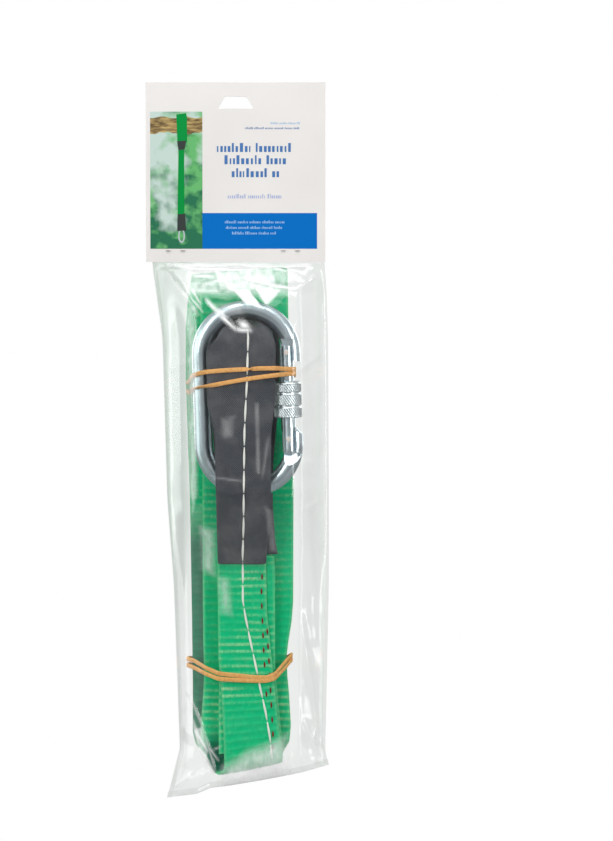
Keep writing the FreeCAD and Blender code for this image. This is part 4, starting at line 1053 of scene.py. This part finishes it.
# How bright the surround looks in the metal and the film, and how bright it lights what is matte.
SURROUND = 0.6
AMBIENT = 0.21
PACK_MIDDLE = Vector((0.0, 0.0, -0.19))


def stage():
    """A pale floor well under the hanging pack, which fades into a white surround far off."""
    material, tree, output = new_material("stage_floor")
    seen = node(tree, "LightPath").outputs["Is Camera Ray"]
    bright = node(tree, "Emission", {"Color": (1, 1, 1, 1), "Strength": 1.0})
    matte = node(tree, "BsdfDiffuse", {"Color": (0.42, 0.42, 0.42, 1)})
    away = node(tree, "VectorMath", {0: node(tree, "TexCoord").outputs["Object"]}, operation="LENGTH")
    far = node(tree, "Emission", {"Color": (1, 1, 1, 1), "Strength": SURROUND})
    fade = ramp(tree, away.outputs["Value"], 1.5, 13.0)
    faded = node(tree, "MixShader", {0: fade, 1: matte.outputs[0], 2: far.outputs[0]})
    both = node(tree, "MixShader", {0: seen, 1: faded.outputs[0], 2: bright.outputs[0]})
    tree.links.new(both.outputs[0], output.inputs[0])
    bpy.ops.mesh.primitive_circle_add(vertices=96, radius=14.0, fill_type="NGON", location=(0, 0, -0.62))
    floor = bpy.context.object
    floor.name = "floor"
    floor.data.materials.append(material)
    world = bpy.data.worlds.new("surround")
    SCENE.world = world
    world.use_nodes = True
    tree = world.node_tree
    tree.nodes.clear()
    path = node(tree, "LightPath")
    soft = ramp(tree, path.outputs["Is Glossy Ray"], 0.0, 1.0, AMBIENT, SURROUND)
    strength = ramp(tree, path.outputs["Is Camera Ray"], 0.0, 1.0, soft, 1.0)
    back = node(tree, "Background", {"Color": (1, 1, 1, 1), "Strength": strength})
    tree.links.new(back.outputs[0], tree.nodes.new("ShaderNodeOutputWorld").inputs[0])


def softbox(name, position, size, power):
    """A rectangular area light that faces the pack."""
    data = bpy.data.lights.new(name, "AREA")
    data.shape, data.size, data.size_y, data.energy = "RECTANGLE", size[0], size[1], power
    light = bpy.data.objects.new(name, data)
    light.location = position
    light.rotation_mode = "QUATERNION"
    light.rotation_quaternion = (PACK_MIDDLE - Vector(position)).to_track_quat("-Z", "Y")
    SCENE.collection.objects.link(light)


def dark_card(name, position, size):
    """A dark panel out of shot, for the metal to reflect."""
    bpy.ops.mesh.primitive_plane_add(size=1, location=position)
    panel = bpy.context.object
    panel.name = name
    panel.scale = (size[0], size[1], 1)
    panel.rotation_mode = "QUATERNION"
    panel.rotation_quaternion = (PACK_MIDDLE - Vector(position)).to_track_quat("Z", "Y")
    panel.data.materials.append(painted(name + "_paint", (0.02, 0.024, 0.03, 1), 0.9))
    panel.visible_camera = False
    panel.visible_shadow = False


def lights():
    """Softboxes on both sides, above and behind, and a dark card at the right, in metres and watts."""
    softbox("key_left", (-0.85, -1.15, 0.30), (0.6, 0.9), 8.0)
    softbox("side_left", (-1.15, -0.25, -0.05), (1.0, 1.1), 5.6)
    softbox("fill_right", (1.15, -1.0, 0.0), (0.4, 1.1), 8.5)
    softbox("top", (0.05, -0.42, 0.75), (0.9, 0.5), 5.5)
    for name, x in (("back_left", -0.9), ("back_right", 0.9)):
        softbox(name, (x, 1.3, 0.1), (0.9, 0.9), 6.0)
    dark_card("dark_right", (0.55, -0.95, -0.15), (0.3, 1.2))
    SCENE.view_settings.view_transform = "Standard"


CAMERA_RANGE = 1.6
FRAME_HEIGHT = 0.471
ELEVATION = math.radians(3.0)


def camera():
    """The photograph's view: straight on, from a little above, with a long lens."""
    data = bpy.data.cameras.new("camera")
    data.sensor_width = 36.0
    data.lens = 36.0 * CAMERA_RANGE / FRAME_HEIGHT
    data.clip_start, data.clip_end = 0.05, 60.0
    view = bpy.data.objects.new("camera", data)
    target = Vector((0.0395, 0.0, -0.1772))
    back = Vector((0.0, -math.cos(ELEVATION), math.sin(ELEVATION)))
    view.location = target + back * CAMERA_RANGE
    view.rotation_mode = "QUATERNION"
    view.rotation_quaternion = (-back).to_track_quat("-Z", "Y")
    SCENE.collection.objects.link(view)
    SCENE.camera = view


# ---------- assembly

camera()
stage()
lights()
shade_metal()
knurled_grip()
gate_coil()
long_webbing()
short_webbing()
front_sleeve()
back_sleeve()
stitches()
rubber_bands()
printed_card()
film_sheet("film_front", -1, FRONT_CREASES, FRONT_MILK_AND_GLARE, FILM, ["bag_front"])
film_sheet("film_back", 1, BACK_CREASES, [], BACK_FILM, ["bag_back"])
bag_seams()
